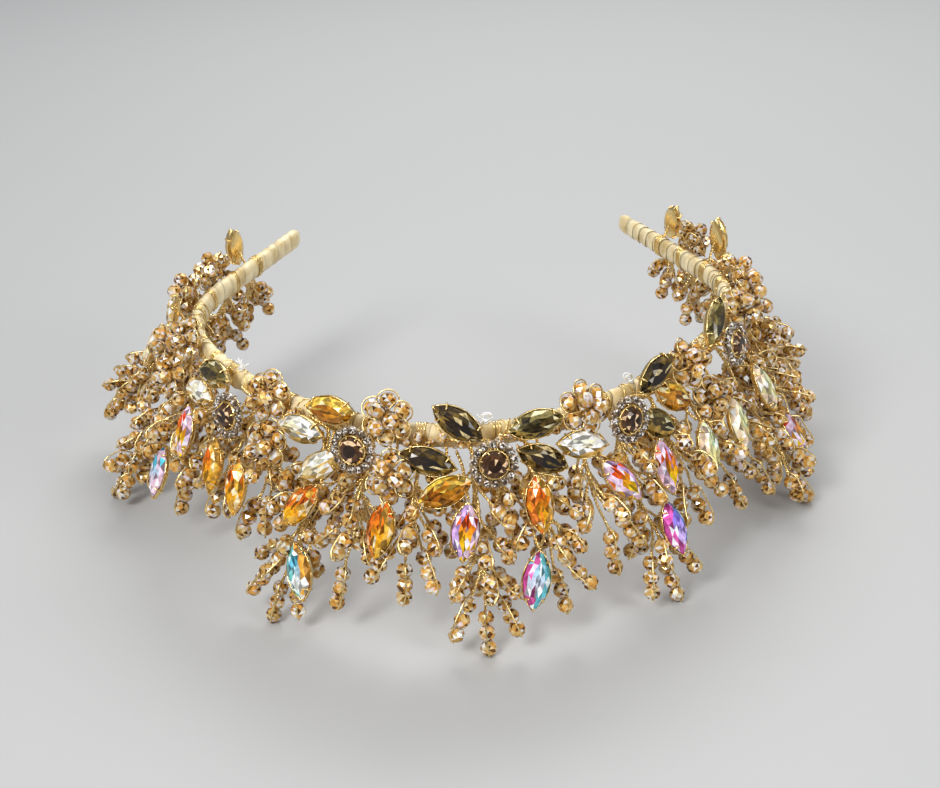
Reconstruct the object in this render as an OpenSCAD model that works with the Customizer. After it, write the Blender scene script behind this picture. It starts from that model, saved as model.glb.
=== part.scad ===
// Bridal tiara: a satin-wrapped spring band carrying jewelled flowers, marquise drops
// and twisted-wire sprays of small crystal beads. It stands on the tips of its sprays.
// Millimetres, +Z up, front of the tiara towards -Y, wearer's right hand towards -X.

/* [Head band] */
// Radius of the curve at the middle of the forehead, mm
front_radius = 46; // [42:1:60]
// Radius of the long side curves, mm
side_radius = 100; // [90:1:110]
// Radius of the tighter curve behind the ears, mm
ear_radius = 42; // [38:1:46]
// Length of the straight end piece on each side, mm
end_length = 43; // [36:1:48]
// Height of the band's centreline above the table, mm
band_height = 46; // [44:0.5:50]
// Depth of the wrapped band's section, measured upwards, mm
wrap_depth = 5.2; // [4.6:0.1:6]
// Thickness of the wrapped band's section, mm
wrap_thickness = 3; // [2.6:0.1:3.4]

/* [Stones] */
// Length of a marquise stone, mm
stone_length = 13.4; // [12:0.2:14]
// Width of a marquise stone, mm
stone_width = 6.4; // [5.6:0.2:7]
// Height of a marquise stone from keel to table, mm
stone_height = 2.7; // [2.4:0.1:3.2]
// Diameter of the round stone in each flower, mm
centre_stone = 6.2; // [5.6:0.2:6.6]
// Number of tiny crystals round each flower
halo_count = 14; // [12:1:15]

/* [Beads and wire] */
// Diameter of a crystal bead, mm
bead_diameter = 4; // [3.6:0.1:4.1]
// Distance between beads threaded on one twig, mm
bead_pitch = 3.4; // [3.3:0.1:3.8]
// Diameter of a twisted pair of wires, mm
twist_diameter = 0.9; // [0.7:0.05:1.1]
// Diameter of a single wire, mm
wire_diameter = 0.45; // [0.3:0.05:0.55]

/* [Hidden] */
$fn = 48;
// Turn angles of the band where one curve passes into the next, degrees
turn_a = 26;
turn_b = 66;
turn_c = 115;
// Where the plan origin sits, measured from the front of the band's centreline
origin_y = 51.85;
origin_x = -3.11;

deg = 180 / PI;
s_a = front_radius * turn_a / deg;
s_b = s_a + side_radius * (turn_b - turn_a) / deg;
s_c = s_b + ear_radius * (turn_c - turn_b) / deg;
p_a = [front_radius * sin(turn_a), front_radius * (1 - cos(turn_a))];
p_b = p_a + side_radius * [sin(turn_b) - sin(turn_a), cos(turn_a) - cos(turn_b)];
p_c = p_b + ear_radius * [sin(turn_c) - sin(turn_b), cos(turn_b) - cos(turn_c)];
c_a = [0, front_radius];
c_b = p_a + side_radius * [-sin(turn_a), cos(turn_a)];
c_c = p_b + ear_radius * [-sin(turn_b), cos(turn_b)];
bead_r = bead_diameter / 2;
bead_end = bead_r * 0.8;
wire_r = wire_diameter / 2;
twist_r = twist_diameter / 2;
wrap_front = wrap_thickness / 2;

// Heading and plan position of the band's centreline at a station along it
function turn_at(t) =
  t < s_a ? t / front_radius * deg
  : t < s_b ? turn_a + (t - s_a) / side_radius * deg
  : t < s_c ? turn_b + (t - s_b) / ear_radius * deg
  : turn_c;
function plan_at(t, h) =
  t < s_a ? front_radius * [sin(h), 1 - cos(h)]
  : t < s_b ? p_a + side_radius * [sin(h) - sin(turn_a), cos(turn_a) - cos(h)]
  : t < s_c ? p_b + ear_radius * [sin(h) - sin(turn_b), cos(turn_b) - cos(h)]
  : p_c + (t - s_c) * [cos(turn_c), sin(turn_c)];
function side(s) = s < 0 ? -1 : 1;
function heading(s) = side(s) * turn_at(abs(s));
function along(s) = [cos(heading(s)), sin(heading(s)), 0];
function outward(s) = [sin(heading(s)), -cos(heading(s)), 0];
function flat(s) = plan_at(abs(s), turn_at(abs(s)));
// Point at a station, so far outside the band's centreline and so high above the table
function at(s, out, z) =
  [side(s) * flat(s)[0] - origin_x, flat(s)[1] - origin_y, z] + out * outward(s);
function unit(v) = v / norm(v);
// Height of a bead's centre when a twig leaning t degrees from the vertical rests on it
function rest(t) = t > 37 ? bead_r : bead_r * (0.8 * cos(t) + 0.6 * sin(t));

// Flowers: [station, outward, height]
FLOWERS = [
  [5, 8, 43], [-22.6, 8, 44.8], [-59.5, 8, 42], [35.4, 8, 45.5], [76.5, 7, 47.6]
];

// Marquise petals beside the flowers: [station, outward, height, angle, lean]
SMOKY = [
  [-1.5, 4.6, 52, -37, 12], [-8, 5.4, 42.6, -14, 12],
  [15.5, 5.4, 40.6, -30, 12], [46.5, 4.8, 52, 22, 14]
];
OLIVE = [
  [14.5, 4.6, 49.5, 4, 16], [-69, 5, 48.4, 4, 20],
  [45, 7, 40.2, -36, 14], [70, 4.6, 56, 40, 18]
];
CHAMPAGNE = [
  [24.5, 6.2, 42, -16, 14], [-39, 4.8, 44.2, 0, 12], [-31.6, 8.4, 38, 37, 22],
  [-74.5, 7, 41.5, 4, 16], [-102, 4.6, 51.5, 58, 12], [-143, 4.4, 52, 70, 10], [149, 4.4, 51.5, 118, 10]
];
AMBER = [
  [-4.4, 9.2, 36.8, 24, 22], [-30, 4.6, 51.6, 3, 14],
  [52.6, 5, 43.4, -34, 14], [126, 4.4, 54.2, 98, 10], [85, 5, 43.6, -50, 16]
];

// Marquise drops in the fringe: [station, outward, height, angle, lean]
DROPS_AMBER = [
  [-33.5, 14.4, 30, 56, 26], [-15.5, 14.8, 28.8, 84, 26], [12.5, 12.4, 33, 88, 26],
  [-59.5, 14.6, 30.4, 104, 26], [-51, 15.4, 28.8, 102, 26]
];
DROPS_VIOLET = [
  [-0.8, 14.8, 29.4, 82, 26], [30.5, 12.4, 33, -57, 26], [42, 13.2, 32, -92, 26],
  [40, 18.6, 18.5, -90, 28], [-73, 13, 33, 108, 28]
];
DROPS_AQUA = [
  [10, 20, 18, 74, 28], [-31.5, 20, 15.5, -66, 28],
  [-79, 19, 20, 108, 30], [87, 20, 19, -82, 30]
];
DROPS_PALE = [
  [55, 13.8, 31, -100, 26], [68, 13.2, 31, -104, 28],
  [81.5, 13.6, 34, -88, 28], [-110, 13, 37, 92, 28]
];

// Sprays of beads: [station on the band, station, outward and height of the tip, kind]
// kind 0 is a fan, kind 1 is a narrow ear and kind 2 is a short rear spray.
// A height of 0 means that the tip rests on the table.
SPRAYS = [
  [1, 2, 21.6, 0, 0], [-10, -12, 17.5, 12.5, 0], [13, 15, 19, 8.5, 0], [7, 8, 9, 21, 1],
  [-21, -24, 19.4, 9.5, 0], [-33, -38, 22.6, 0, 0], [-46, -49.5, 16.4, 17, 0], [-57, -61, 16, 17.5, 0],
  [-27.5, -29, 10, 20, 1],
  [25, 27, 17, 13, 0], [35, 39, 22, 0, 0], [48, 51.5, 17.6, 14.5, 0], [59, 63, 18.6, 13, 0],
  [-69, -71.5, 18.8, 14, 1], [-79, -83, 20, 16, 0], [-90, -99, 27.4, 0, 1], [-99, -106, 17, 24, 0],
  [70, 74, 20, 11, 0], [79, 85.5, 26, 0, 1], [90, 97, 23, 9, 0], [101, 109, 22, 15, 0],
  [-109, -118, 34, 10, 1], [-120, -128, 19, 0, 0], [-133, -139, 12, 20, 2], [-145, -150, 9, 26, 2],
  [113, 123, 29, 0, 0], [124, 133, 17, 17, 0], [136, 142, 12, 22, 2], [147, 151, 9, 27, 2]
];

// Looped bead clusters tied on the band: [station, outward, height, lean]
CLUSTERS_TOP = [
  [-16.6, 4.2, 52, 20], [-49.5, 4.4, 49.4, 24], [26.6, 4.4, 50, 24], [60, 4.4, 49, 24],
  [-88, 4.4, 50, 24], [-116, 4.2, 50, 24], [-130, 4, 50, 20], [90, 4.4, 50.5, 24],
  [104, 4.4, 50, 24], [115, 4.4, 49, 24], [138, 4, 50, 20]
];
CLUSTERS_LOW = [
  [-15.4, 7.8, 38.8, 24], [-47.4, 8.4, 38.8, 24], [64.4, 8, 38.6, 24], [-91, 8.6, 39.2, 26],
  [98, 8.6, 39.4, 26], [-103, 8, 41, 24], [-122, 7, 41, 24], [129, 7, 41.4, 24]
];

// Small beads wound tight on the band: [first station, number]
WOUND = [[-13, 4], [-1, 1], [7, 2], [20, 2], [68, 2], [-44, 2], [-76, 2], [115, 3], [-138, 2]];

// ---- where the twigs of each spray may go ----

function foot(r) = at(r[0], wrap_front + 0.9, band_height - 2);
function tip_z(r) =
  r[3] > 0 ? r[3] : rest(acos((foot(r)[2] - 2) / norm(at(r[1], r[2], 2) - foot(r))));
function tip(r) = at(r[1], r[2], tip_z(r));

// Length of the end twig for each kind of spray
END_TWIG = [17, 12, 11];

// Frame of a spray: foot, three axes and length to the tip bead
function frame_of(r) =
  let (p = foot(r), q = tip(r), d = unit(q - p), h = along(r[0]), x = unit(h - (h * d) * d))
  [p, x, cross(d, x), d, norm(q - p)];
FRAMES = [for (r = SPRAYS) frame_of(r)];

// A twig is [start along the stem, sideways angle, outward angle, length, beads]
function twig_dir(t) = [cos(t[2]) * sin(t[1]), sin(t[2]), cos(t[2]) * cos(t[1])];
function twig_at(f, t, l) =
  let (v = [0, 0, t[0]] + l * twig_dir(t))
  f[0] + v[0] * f[1] + v[1] * f[2] + v[2] * f[3];
function beads_of(f, t) = [for (k = [0:t[4] - 1]) twig_at(f, t, t[3] - k * bead_pitch)];
function stem_of(f, t) = [for (l = [3:2.4:t[3] - (t[4] - 1) * bead_pitch - bead_r - 0.4]) twig_at(f, t, l)];

// The end twigs of a spray: the first is always there
function end_twigs(n, kind) =
  kind == 0 ? [[n - 17, 0, 0, 17, 3], [n - 19, 25, 4, 16.5, 3], [n - 19, -25, 4, 16.5, 3]]
  : kind == 1 ? [[n - 12, 0, 0, 12, 3], [n - 15, 27, 5, 12, 2], [n - 15, -27, 5, 12, 2]]
  : [[n - 11, 0, 0, 11, 2], [n - 13, 26, 0, 10.5, 2], [n - 13, -26, 0, 10.5, 2]];

// Places up the stem where a side twig may grow, from the tip to the band
function side_twigs(n, kind) =
  let (spread = kind == 1 ? 30 : 36, long = kind == 1 ? 9.5 : 11.5)
  [for (z = [n - END_TWIG[kind] - 5:-4:2], k = [0:5])
    k < 2 ? [z, (k * 2 - 1) * spread, 16, long, 2]
    : k < 4 ? [z - 1.5, (k * 2 - 5) * (spread - 4), -18, long, 2]
    : [z, k == 4 ? 6 : -6, k == 4 ? 36 : -34, long, 2]];

// Short twigs in every direction that fill the gaps between the longer ones
function fill_twigs(n, kind) =
  [for (z = [n - END_TWIG[kind] - 2:-3:4], k = [0:15])
    k < 8 ? [z, 40 * cos(k * 45 + 20), 30 * sin(k * 45 + 20), k % 2 == 1 ? 8 : 10, 2]
    : [z - 1.5, 52 * cos(k * 45), 40 * sin(k * 45), k % 2 == 1 ? 6 : 7.5, 1]];

CANDIDATES = concat(
  [for (i = [0:len(SPRAYS) - 1]) [i, end_twigs(FRAMES[i][4], SPRAYS[i][4])[0], 0]],
  [for (i = [0:len(SPRAYS) - 1], k = [1, 2]) [i, end_twigs(FRAMES[i][4], SPRAYS[i][4])[k], 1]],
  [for (i = [0:len(SPRAYS) - 1], t = side_twigs(FRAMES[i][4], SPRAYS[i][4])) [i, t, 1]],
  [for (i = [0:len(SPRAYS) - 1], t = fill_twigs(FRAMES[i][4], SPRAYS[i][4])) [i, t, 1]]
);

// Solid things the beads keep clear of: [point, radius]
function leant(r, v) = at(r[0], r[1], r[2]) + v[0] * along(r[0])
  + (v[1] * cos(r[4]) + v[2] * sin(r[4])) * [0, 0, 1] + (v[2] * cos(r[4]) - v[1] * sin(r[4])) * outward(r[0]);
STONES = concat(SMOKY, OLIVE, CHAMPAGNE, AMBER, DROPS_AMBER, DROPS_VIOLET, DROPS_AQUA, DROPS_PALE);
STONE_SPOTS = [
  for (r = STONES, u = [-1.9, -1, 0, 1, 1.9])
    [leant(r, [u * 3.2 * cos(r[3]), u * 3.2 * sin(r[3]), 0.9]), abs(u) > 1.5 ? 1.2 : abs(u) > 0.5 ? 2.3 : 2.9]
];
FLOWER_SPOTS = [
  for (f = FLOWERS, k = [0:6])
    [leant([f[0], f[1], f[2], 0, 14], k == 6 ? [0, 0, 1.4] : [3.8 * cos(k * 60), 3.8 * sin(k * 60), 0.6]), 1.9]
];
CLUSTER_SPOTS = [
  for (r = concat(CLUSTERS_TOP, CLUSTERS_LOW), k = [0:6])
    let (p = bead_diameter + 0.1)
      [leant([r[0], r[1], r[2], 0, r[3]], k == 6 ? [0, 0, 1] : [p * cos(k * 60 + 30), p * sin(k * 60 + 30), 0]), bead_r]
];
SOLID_SPOTS = concat(STONE_SPOTS, FLOWER_SPOTS, CLUSTER_SPOTS);
STEM_SPOTS = [
  for (i = [0:len(SPRAYS) - 1])
    for (l = [2:2.4:FRAMES[i][4] - END_TWIG[SPRAYS[i][4]]]) FRAMES[i][0] + l * FRAMES[i][3]
];

function clear_of(b, spots, gap) = len([for (p = spots) if (norm(b - p) < gap) 1]) == 0;
function bead_fits(b, beads, stems) =
  b[2] > bead_r - 0.05
  && clear_of(b, beads, bead_diameter - 0.05)
  && clear_of(b, stems, bead_r + 0.4)
  && len([for (o = SOLID_SPOTS) if (norm(b - o[0]) < bead_r + o[1]) 1]) == 0;
function all_fit(bs, beads, stems) = len([for (b = bs) if (!bead_fits(b, beads, stems)) 1]) == 0;
function stems_fit(ss, beads) = len([for (q = ss) if (!clear_of(q, beads, bead_r + 0.3)) 1]) == 0;

// A twig is kept when its beads and stem clear everything kept before it
function try(c, beads, stems) =
  let (f = FRAMES[c[0]], b = beads_of(f, c[1]), q = stem_of(f, c[1]))
  c[2] == 0 || (all_fit(b, beads, stems) && stems_fit(q, beads)) ? [c, b, q] : [];
GROWN = [
  for (
    i = 0, got = try(CANDIDATES[0], [], []), beads = [], stems = STEM_SPOTS;
    i < len(CANDIDATES);
    beads = len(got) > 0 ? concat(beads, got[1]) : beads,
    stems = len(got) > 0 ? concat(stems, got[2]) : stems,
    i = i + 1,
    got = i < len(CANDIDATES) ? try(CANDIDATES[i], beads, stems) : []
  ) if (len(got) > 0) got[0]
];
KEPT = [for (g = GROWN) [g[0], g[1]]];

// ---- placing ----

// Local X along the band, local Y up, local Z facing outwards, tipped back by lean
module facing(s, out, z, lean)
  translate(at(s, out, z))
    rotate([0, 0, heading(s)])
      rotate([90 - lean, 0, 0])
        children();

// Local Z from p to q, local Y towards the outer, upper side
module aimed(p, q, hint) {
  d = unit(q - p);
  x = unit(hint - (hint * d) * d);
  y = cross(d, x);
  multmatrix([[x[0], y[0], d[0], p[0]], [x[1], y[1], d[1], p[1]], [x[2], y[2], d[2], p[2]]])
    children();
}

// ---- small pieces ----

module marquise(len, wide) {
  a = len / 2;
  b = wide / 2;
  r = (a * a + b * b) / (2 * b);
  intersection() {
    translate([0, r - b]) circle(r, $fn = 96);
    translate([0, b - r]) circle(r, $fn = 96);
  }
}

// Outline points of a marquise, ten to the ring
function edge_y(x, a, b) = sqrt(pow((a * a + b * b) / (2 * b), 2) - x * x) - (a * a - b * b) / (2 * b);
function ring(a, b, z) =
  [for (i = [0:9]) let (x = a * cos(i * 36)) [x, (i < 5 ? 1 : -1) * max(edge_y(abs(x), a, b), 0), z]];

// Faceted marquise stone on its keel, long axis along X
module marquise_stone() {
  a = stone_length / 2;
  b = stone_width / 2;
  h = stone_height;
  pts = concat(ring(a * 0.6, b * 0.45, 0), ring(a, b, h * 0.36), ring(a, b, h * 0.5), ring(a * 0.62, b * 0.52, h));
  sides = [
    for (k = [0:2], i = [0:9], t = [0, 1])
      let (j = (i + 1) % 10)
        t == 0 ? [k * 10 + i, k * 10 + 10 + j, k * 10 + j] : [k * 10 + i, k * 10 + 10 + i, k * 10 + 10 + j]
  ];
  polyhedron(points = pts, faces = concat([[for (i = [0:9]) i]], sides, [[for (i = [9:-1:0]) 30 + i]]));
}

// Claw setting that holds one marquise stone by its rim and near both points
module marquise_setting() {
  translate([0, 0, -0.5])
    linear_extrude(0.4)
      marquise(stone_length + 0.8, stone_width + 0.7);
  translate([0, 0, -0.5])
    linear_extrude(stone_height * 0.36 + 0.5)
      difference() {
        marquise(stone_length + 0.8, stone_width + 0.7);
        marquise(stone_length + 0.1, stone_width + 0.1);
      }
  for (i = [-1, 1], j = [-1, 1])
    translate([i * stone_length * 0.3, j * stone_width * 0.4, stone_height * 0.5])
      cylinder(r = 0.4, h = stone_height * 0.28);
  for (i = [-1, 1], j = [-1, 1])
    translate([i * stone_length * 0.3, j * stone_width * 0.44, -0.2])
      cylinder(r = 0.36, h = stone_height * 0.5 + 0.5);
}

// Crystal bead with a bore along Z
module bead(r) {
  rotate_extrude()
    intersection() {
      circle(r);
      translate([wire_r + 0.1, -r * 0.8]) square([r, r * 1.6]);
    }
}

// Straight round wire
module wire(p, q, r) {
  aimed(p, q, [0.3, 0.9, 0.2])
    cylinder(r = r, h = norm(q - p));
}

// One twig: a twisted stem and a single wire through the beads
module twig_wire(len, count) {
  low = len - (count - 1) * bead_pitch - bead_end - 0.3;
  top = len + bead_r - 0.05;
  rotate_extrude()
    polygon([[0, 0], [twist_r, 0], [twist_r, low], [wire_r, low + 0.2], [wire_r, top - wire_r], [0, top]]);
}

// The same wire's way back over the outside of the beads, from their end to the stem
module return_wire(len, count) {
  low = len - (count - 1) * bead_pitch - bead_end - 0.3;
  chord = len + bead_r - 0.3 - low;
  rise = bead_r + 0.35;
  bow = (chord * chord / 4 + rise * rise) / (2 * rise);
  sweep = 2 * asin(chord / 2 / bow);
  translate([0, rise - bow + 0.6, low + chord / 2])
    rotate([0, -90, 0])
      rotate([0, 0, 90 - sweep / 2])
        rotate_extrude(angle = sweep)
          translate([bow, 0])
            circle(wire_r);
}

module twig_beads(len, count) {
  for (k = [0:count - 1])
    translate([0, 0, len - k * bead_pitch])
      bead(bead_r);
}

module on_twig(t) {
  translate([0, 0, t[0]])
    rotate([-t[2], t[1], 0])
      children();
}

module spray_wires(first, last) {
  for (i = [first:last])
    aimed(foot(SPRAYS[i]), tip(SPRAYS[i]), along(SPRAYS[i][0])) {
      cylinder(r = twist_r * 1.2, h = FRAMES[i][4] - END_TWIG[SPRAYS[i][4]]);
      for (k = KEPT)
        if (k[0] == i)
          on_twig(k[1]) {
            twig_wire(k[1][3], k[1][4]);
            return_wire(k[1][3], k[1][4]);
          }
    }
}

module spray_beads(first, last) {
  for (i = [first:last])
    aimed(foot(SPRAYS[i]), tip(SPRAYS[i]), along(SPRAYS[i][0]))
      for (k = KEPT)
        if (k[0] == i)
          on_twig(k[1]) twig_beads(k[1][3], k[1][4]);
}

// Ten beads packed in two layers
module cluster_beads(rows) {
  p = bead_diameter + 0.1;
  for (r = rows)
    facing(r[0], r[1], r[2], r[3]) {
      rotate([0, 90, 0]) bead(bead_r);
      for (k = [0:5])
        rotate([0, 0, k * 60 + 30])
          translate([p, 0, 0])
            rotate([0, 90, 0])
              bead(bead_r);
      for (k = [0:2])
        rotate([0, 0, k * 120])
          translate([p / sqrt(3), 0, p * 0.82])
            rotate([90, 0, 0])
              bead(bead_r);
    }
}

// Single wire looping round the outer beads of a cluster, and its tie to the band
module cluster_wires(rows) {
  for (r = rows) {
    facing(r[0], r[1], r[2], r[3])
      for (k = [0:5])
        rotate([0, 0, k * 60 + 30])
          translate([bead_diameter + 0.1, 0, 0])
            rotate([0, 0, -80])
              rotate_extrude(angle = 160)
                translate([bead_r + 0.5, 0])
                  circle(wire_r);
    wire(at(r[0], wrap_front + 0.2, band_height), at(r[0], r[1] - bead_r - 0.3, r[2] - side_z(r[2])), twist_r);
  }
}
function side_z(z) = z > band_height ? 1.2 : -1.2;

// Two band sections swept along the band: children(0) on the front and ear curves,
// children(1) on the side curves and straight ends. The curves run on a little into
// their neighbours, as one turn of ribbon runs over the next.
module sweep_band(trim) {
  lap = 0.4;
  translate([-origin_x, -origin_y, band_height]) {
    translate(c_a)
      rotate([0, 0, -90 - turn_a - lap])
        rotate_extrude(angle = 2 * (turn_a + lap))
          translate([front_radius, 0])
            children(0);
    for (m = [0, 1])
      mirror([m, 0, 0]) {
        translate(c_b)
          rotate([0, 0, turn_a - 90])
            rotate_extrude(angle = turn_b - turn_a)
              translate([side_radius, 0])
                children(1);
        translate(c_c)
          rotate([0, 0, turn_b - 90 - lap])
            rotate_extrude(angle = turn_c - turn_b + 2 * lap)
              translate([ear_radius, 0])
                children(0);
        translate(p_c)
          rotate([0, 0, turn_c])
            rotate([90, 0, 90])
              linear_extrude(end_length - trim)
                mirror([1, 0])
                  children(1);
      }
  }
}

module oval(w, h) {
  square([w, h - w], center = true);
  for (m = [-1, 1])
    translate([0, m * (h - w) / 2])
      circle(w / 2);
}

// ---- named pieces ----

// Spring steel strip inside the wrap
module band_core() color("silver")
  sweep_band(3) {
    square([0.8, 3.3], center = true);
    square([0.84, 3.34], center = true);
  }

// Satin ribbon wound round the strip, open at both ends
module band_wrap() color("wheat")
  sweep_band(2.8) {
    difference() {
      oval(wrap_thickness, wrap_depth);
      square([0.96, 3.46], center = true);
    }
    difference() {
      oval(wrap_thickness - 0.06, wrap_depth - 0.06);
      square([0.92, 3.42], center = true);
    }
  }

// Gathered ribbon that closes and rounds both ends
module band_tips() color("wheat")
  for (m = [-1, 1])
    translate(at(m * (s_c + end_length - 2.75), 0, band_height))
      rotate([0, 0, heading(m * s_c)])
        rotate([0, m * 90, 0]) {
          linear_extrude(1.6)
            rotate([0, 0, 90]) oval(wrap_thickness, wrap_depth);
          translate([0, 0, 1.6])
            linear_extrude(1.1)
              rotate([0, 0, 90]) oval(wrap_thickness - 0.9, wrap_depth - 1.4);
        }

// Turns of fine wire that bind each spray and flower to the band
module binding_wire() color("gold")
  for (s = concat([for (r = SPRAYS) r[0]], [-59.5, 76.5]), k = [-1, 0, 1])
    translate(at(s + k * 0.8, 0, band_height))
      rotate([0, 0, heading(s)])
        rotate([90, 0, 90])
          linear_extrude(wire_diameter)
            difference() {
              oval(wrap_thickness + 1, wrap_depth + 1);
              oval(wrap_thickness + 0.1, wrap_depth + 0.1);
            }

// Clear nylon thread knotted on top of the band
module thread_knots() color("white")
  for (s = [4.5, -66, 44])
    translate(at(s, 0, band_height + wrap_depth / 2 + 0.55)) {
      sphere(0.5);
      translate([0, 0, 1.85])
        rotate([90, 0, heading(s) + 20])
          rotate_extrude()
            translate([1.1, 0])
              circle(0.2);
      translate(0.75 * outward(s))
        rotate([0, 0, heading(s)])
          rotate([60, 0, 0])
            cylinder(r = 0.2, h = 3.5);
    }

module flower_cups() color("gold")
  for (f = FLOWERS)
    facing(f[0], f[1], f[2], 14) {
      rotate_extrude()
        polygon([
          [0, 0], [5.5, 0], [5.5, 0.9], [3.9, 0.9], [3.9, 2.1], [3.3, 2.1],
          [3.3, 1.6], [0, 0.8]
        ]);
      translate([0, 0, -f[1] + wrap_front + 1])
        cylinder(r = 0.7, h = f[1] - wrap_front - 0.8);
      for (k = [0:3])
        rotate([0, 0, 45 + 90 * k])
          translate([3.45, 0, 2])
            sphere(0.45);
    }

module flower_halo_crystals() color("gainsboro")
  for (f = FLOWERS)
    facing(f[0], f[1], f[2], 14)
      for (k = [0:halo_count - 1])
        rotate([0, 0, (k + 0.5) * 360 / halo_count])
          translate([4.72, 0, 0.95])
            rotate_extrude()
              polygon([[0, 0], [0.5, 0], [0.8, 0.5], [0.8, 0.7], [0.45, 1.15], [0, 1.15]]);

module flower_centre_stones() color("sienna")
  for (f = FLOWERS)
    facing(f[0], f[1], f[2], 14)
      rotate_extrude() {
        r = centre_stone / 2;
        polygon([[0, 0.95], [r - 0.05, 1.75], [r - 0.05, 2.0], [r * 0.6, 3.1], [0, 3.1]]);
      }

module stones(rows) {
  for (r = rows)
    facing(r[0], r[1], r[2], r[4])
      rotate([0, 0, r[3]])
        marquise_stone();
}

module settings(rows) {
  for (r = rows)
    facing(r[0], r[1], r[2], r[4])
      rotate([0, 0, r[3]])
        marquise_setting();
}

module petal_settings() color("gold") settings(concat(SMOKY, OLIVE, CHAMPAGNE, AMBER));
module petals_smoky() color("dimgray") stones(SMOKY);
module petals_olive() color("olive") stones(OLIVE);
module petals_champagne() color("cornsilk") stones(CHAMPAGNE);
module petals_amber() color("orange") stones(AMBER);

// Short twisted ties from the petals to the band
module petal_wires() color("gold")
  for (r = concat(SMOKY, OLIVE, CHAMPAGNE, AMBER)) {
    dz = r[2] - band_height;
    near = band_height + max(min(dz, 1.6), -1.6);
    wire(at(r[0], wrap_front + 0.7, near), at(r[0], r[1] - 0.6 - sin(r[4]), r[2] + (dz > 0 ? -1 : 1) * 0.8), twist_r);
  }

module drop_settings() color("gold") settings(concat(DROPS_AMBER, DROPS_VIOLET, DROPS_AQUA, DROPS_PALE));
module drops_amber() color("darkorange") stones(DROPS_AMBER);
module drops_violet() color("orchid") stones(DROPS_VIOLET);
module drops_aqua() color("paleturquoise") stones(DROPS_AQUA);
module drops_pale() color("honeydew") stones(DROPS_PALE);

// Twisted wires that carry the drops clear of the beads
module drop_wires() color("gold")
  for (r = concat(DROPS_AMBER, DROPS_VIOLET, DROPS_AQUA, DROPS_PALE)) {
    a = r[3] > 0 ? r[3] : r[3] + 180;
    up = stone_length / 2 + 0.2;
    top = at(r[0], r[1] - up * sin(a) * sin(r[4]) - 0.7, r[2] + up * sin(a) * cos(r[4]))
      + up * cos(a) * along(r[0]);
    wire(at(r[0] - 1.5, wrap_front + 0.9, band_height - 2.6), top, twist_r);
  }

module wound_beads() color("peachpuff")
  for (w = WOUND, k = [0:w[1] - 1])
    facing(w[0] + k * 2.6, wrap_front + 1.7, band_height - 0.4 + (k % 2) * 1.6, 0)
      rotate([0, 90, 0])
        bead(1.2);

module cluster_beads_top() color("peachpuff") cluster_beads(CLUSTERS_TOP);
module cluster_beads_low() color("peachpuff") cluster_beads(CLUSTERS_LOW);
module cluster_wires_top() color("gold") cluster_wires(CLUSTERS_TOP);
module cluster_wires_low() color("gold") cluster_wires(CLUSTERS_LOW);
module spray_wires_front() color("gold") spray_wires(0, 3);
module spray_beads_front() color("peachpuff") spray_beads(0, 3);
module spray_wires_front_left() color("gold") spray_wires(4, 8);
module spray_beads_front_left() color("peachpuff") spray_beads(4, 8);
module spray_wires_front_right() color("gold") spray_wires(9, 12);
module spray_beads_front_right() color("peachpuff") spray_beads(9, 12);
module spray_wires_side_left() color("gold") spray_wires(13, 16);
module spray_beads_side_left() color("peachpuff") spray_beads(13, 16);
module spray_wires_side_right() color("gold") spray_wires(17, 20);
module spray_beads_side_right() color("peachpuff") spray_beads(17, 20);
module spray_wires_rear_left() color("gold") spray_wires(21, 24);
module spray_beads_rear_left() color("peachpuff") spray_beads(21, 24);
module spray_wires_rear_right() color("gold") spray_wires(25, 28);
module spray_beads_rear_right() color("peachpuff") spray_beads(25, 28);

band_core();
band_wrap();
band_tips();
binding_wire();
thread_knots();
flower_cups();
flower_halo_crystals();
flower_centre_stones();
petal_settings();
petals_smoky();
petals_olive();
petals_champagne();
petals_amber();
petal_wires();
drop_settings();
drops_amber();
drops_violet();
drops_aqua();
drops_pale();
drop_wires();
wound_beads();
cluster_beads_top();
cluster_beads_low();
cluster_wires_top();
cluster_wires_low();
spray_wires_front();
spray_beads_front();
spray_wires_front_left();
spray_beads_front_left();
spray_wires_front_right();
spray_beads_front_right();
spray_wires_side_left();
spray_beads_side_left();
spray_wires_side_right();
spray_beads_side_right();
spray_wires_rear_left();
spray_beads_rear_left();
spray_wires_rear_right();
spray_beads_rear_right();
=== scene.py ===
"""Looks of the bridal tiara: satin ribbon, gold wire, crystal beads, marquise stones and
flowers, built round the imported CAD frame. Layout numbers are millimetres; meshes are metres.
"""
import math

import bpy
import numpy as np
from mathutils import Matrix


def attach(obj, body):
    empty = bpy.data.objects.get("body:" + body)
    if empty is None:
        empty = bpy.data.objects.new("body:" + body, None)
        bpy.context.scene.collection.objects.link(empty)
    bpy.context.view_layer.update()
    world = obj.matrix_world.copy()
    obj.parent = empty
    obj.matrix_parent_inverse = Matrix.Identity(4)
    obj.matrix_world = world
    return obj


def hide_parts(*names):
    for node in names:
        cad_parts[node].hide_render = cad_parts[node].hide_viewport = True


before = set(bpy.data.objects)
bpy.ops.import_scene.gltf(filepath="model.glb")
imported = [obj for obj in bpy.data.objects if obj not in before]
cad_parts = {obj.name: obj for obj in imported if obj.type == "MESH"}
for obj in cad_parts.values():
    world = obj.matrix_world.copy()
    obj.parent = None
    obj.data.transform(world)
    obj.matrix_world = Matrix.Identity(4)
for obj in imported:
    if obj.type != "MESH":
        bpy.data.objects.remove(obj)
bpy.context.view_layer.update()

MM = 0.001
rng = np.random.default_rng(11)

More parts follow.
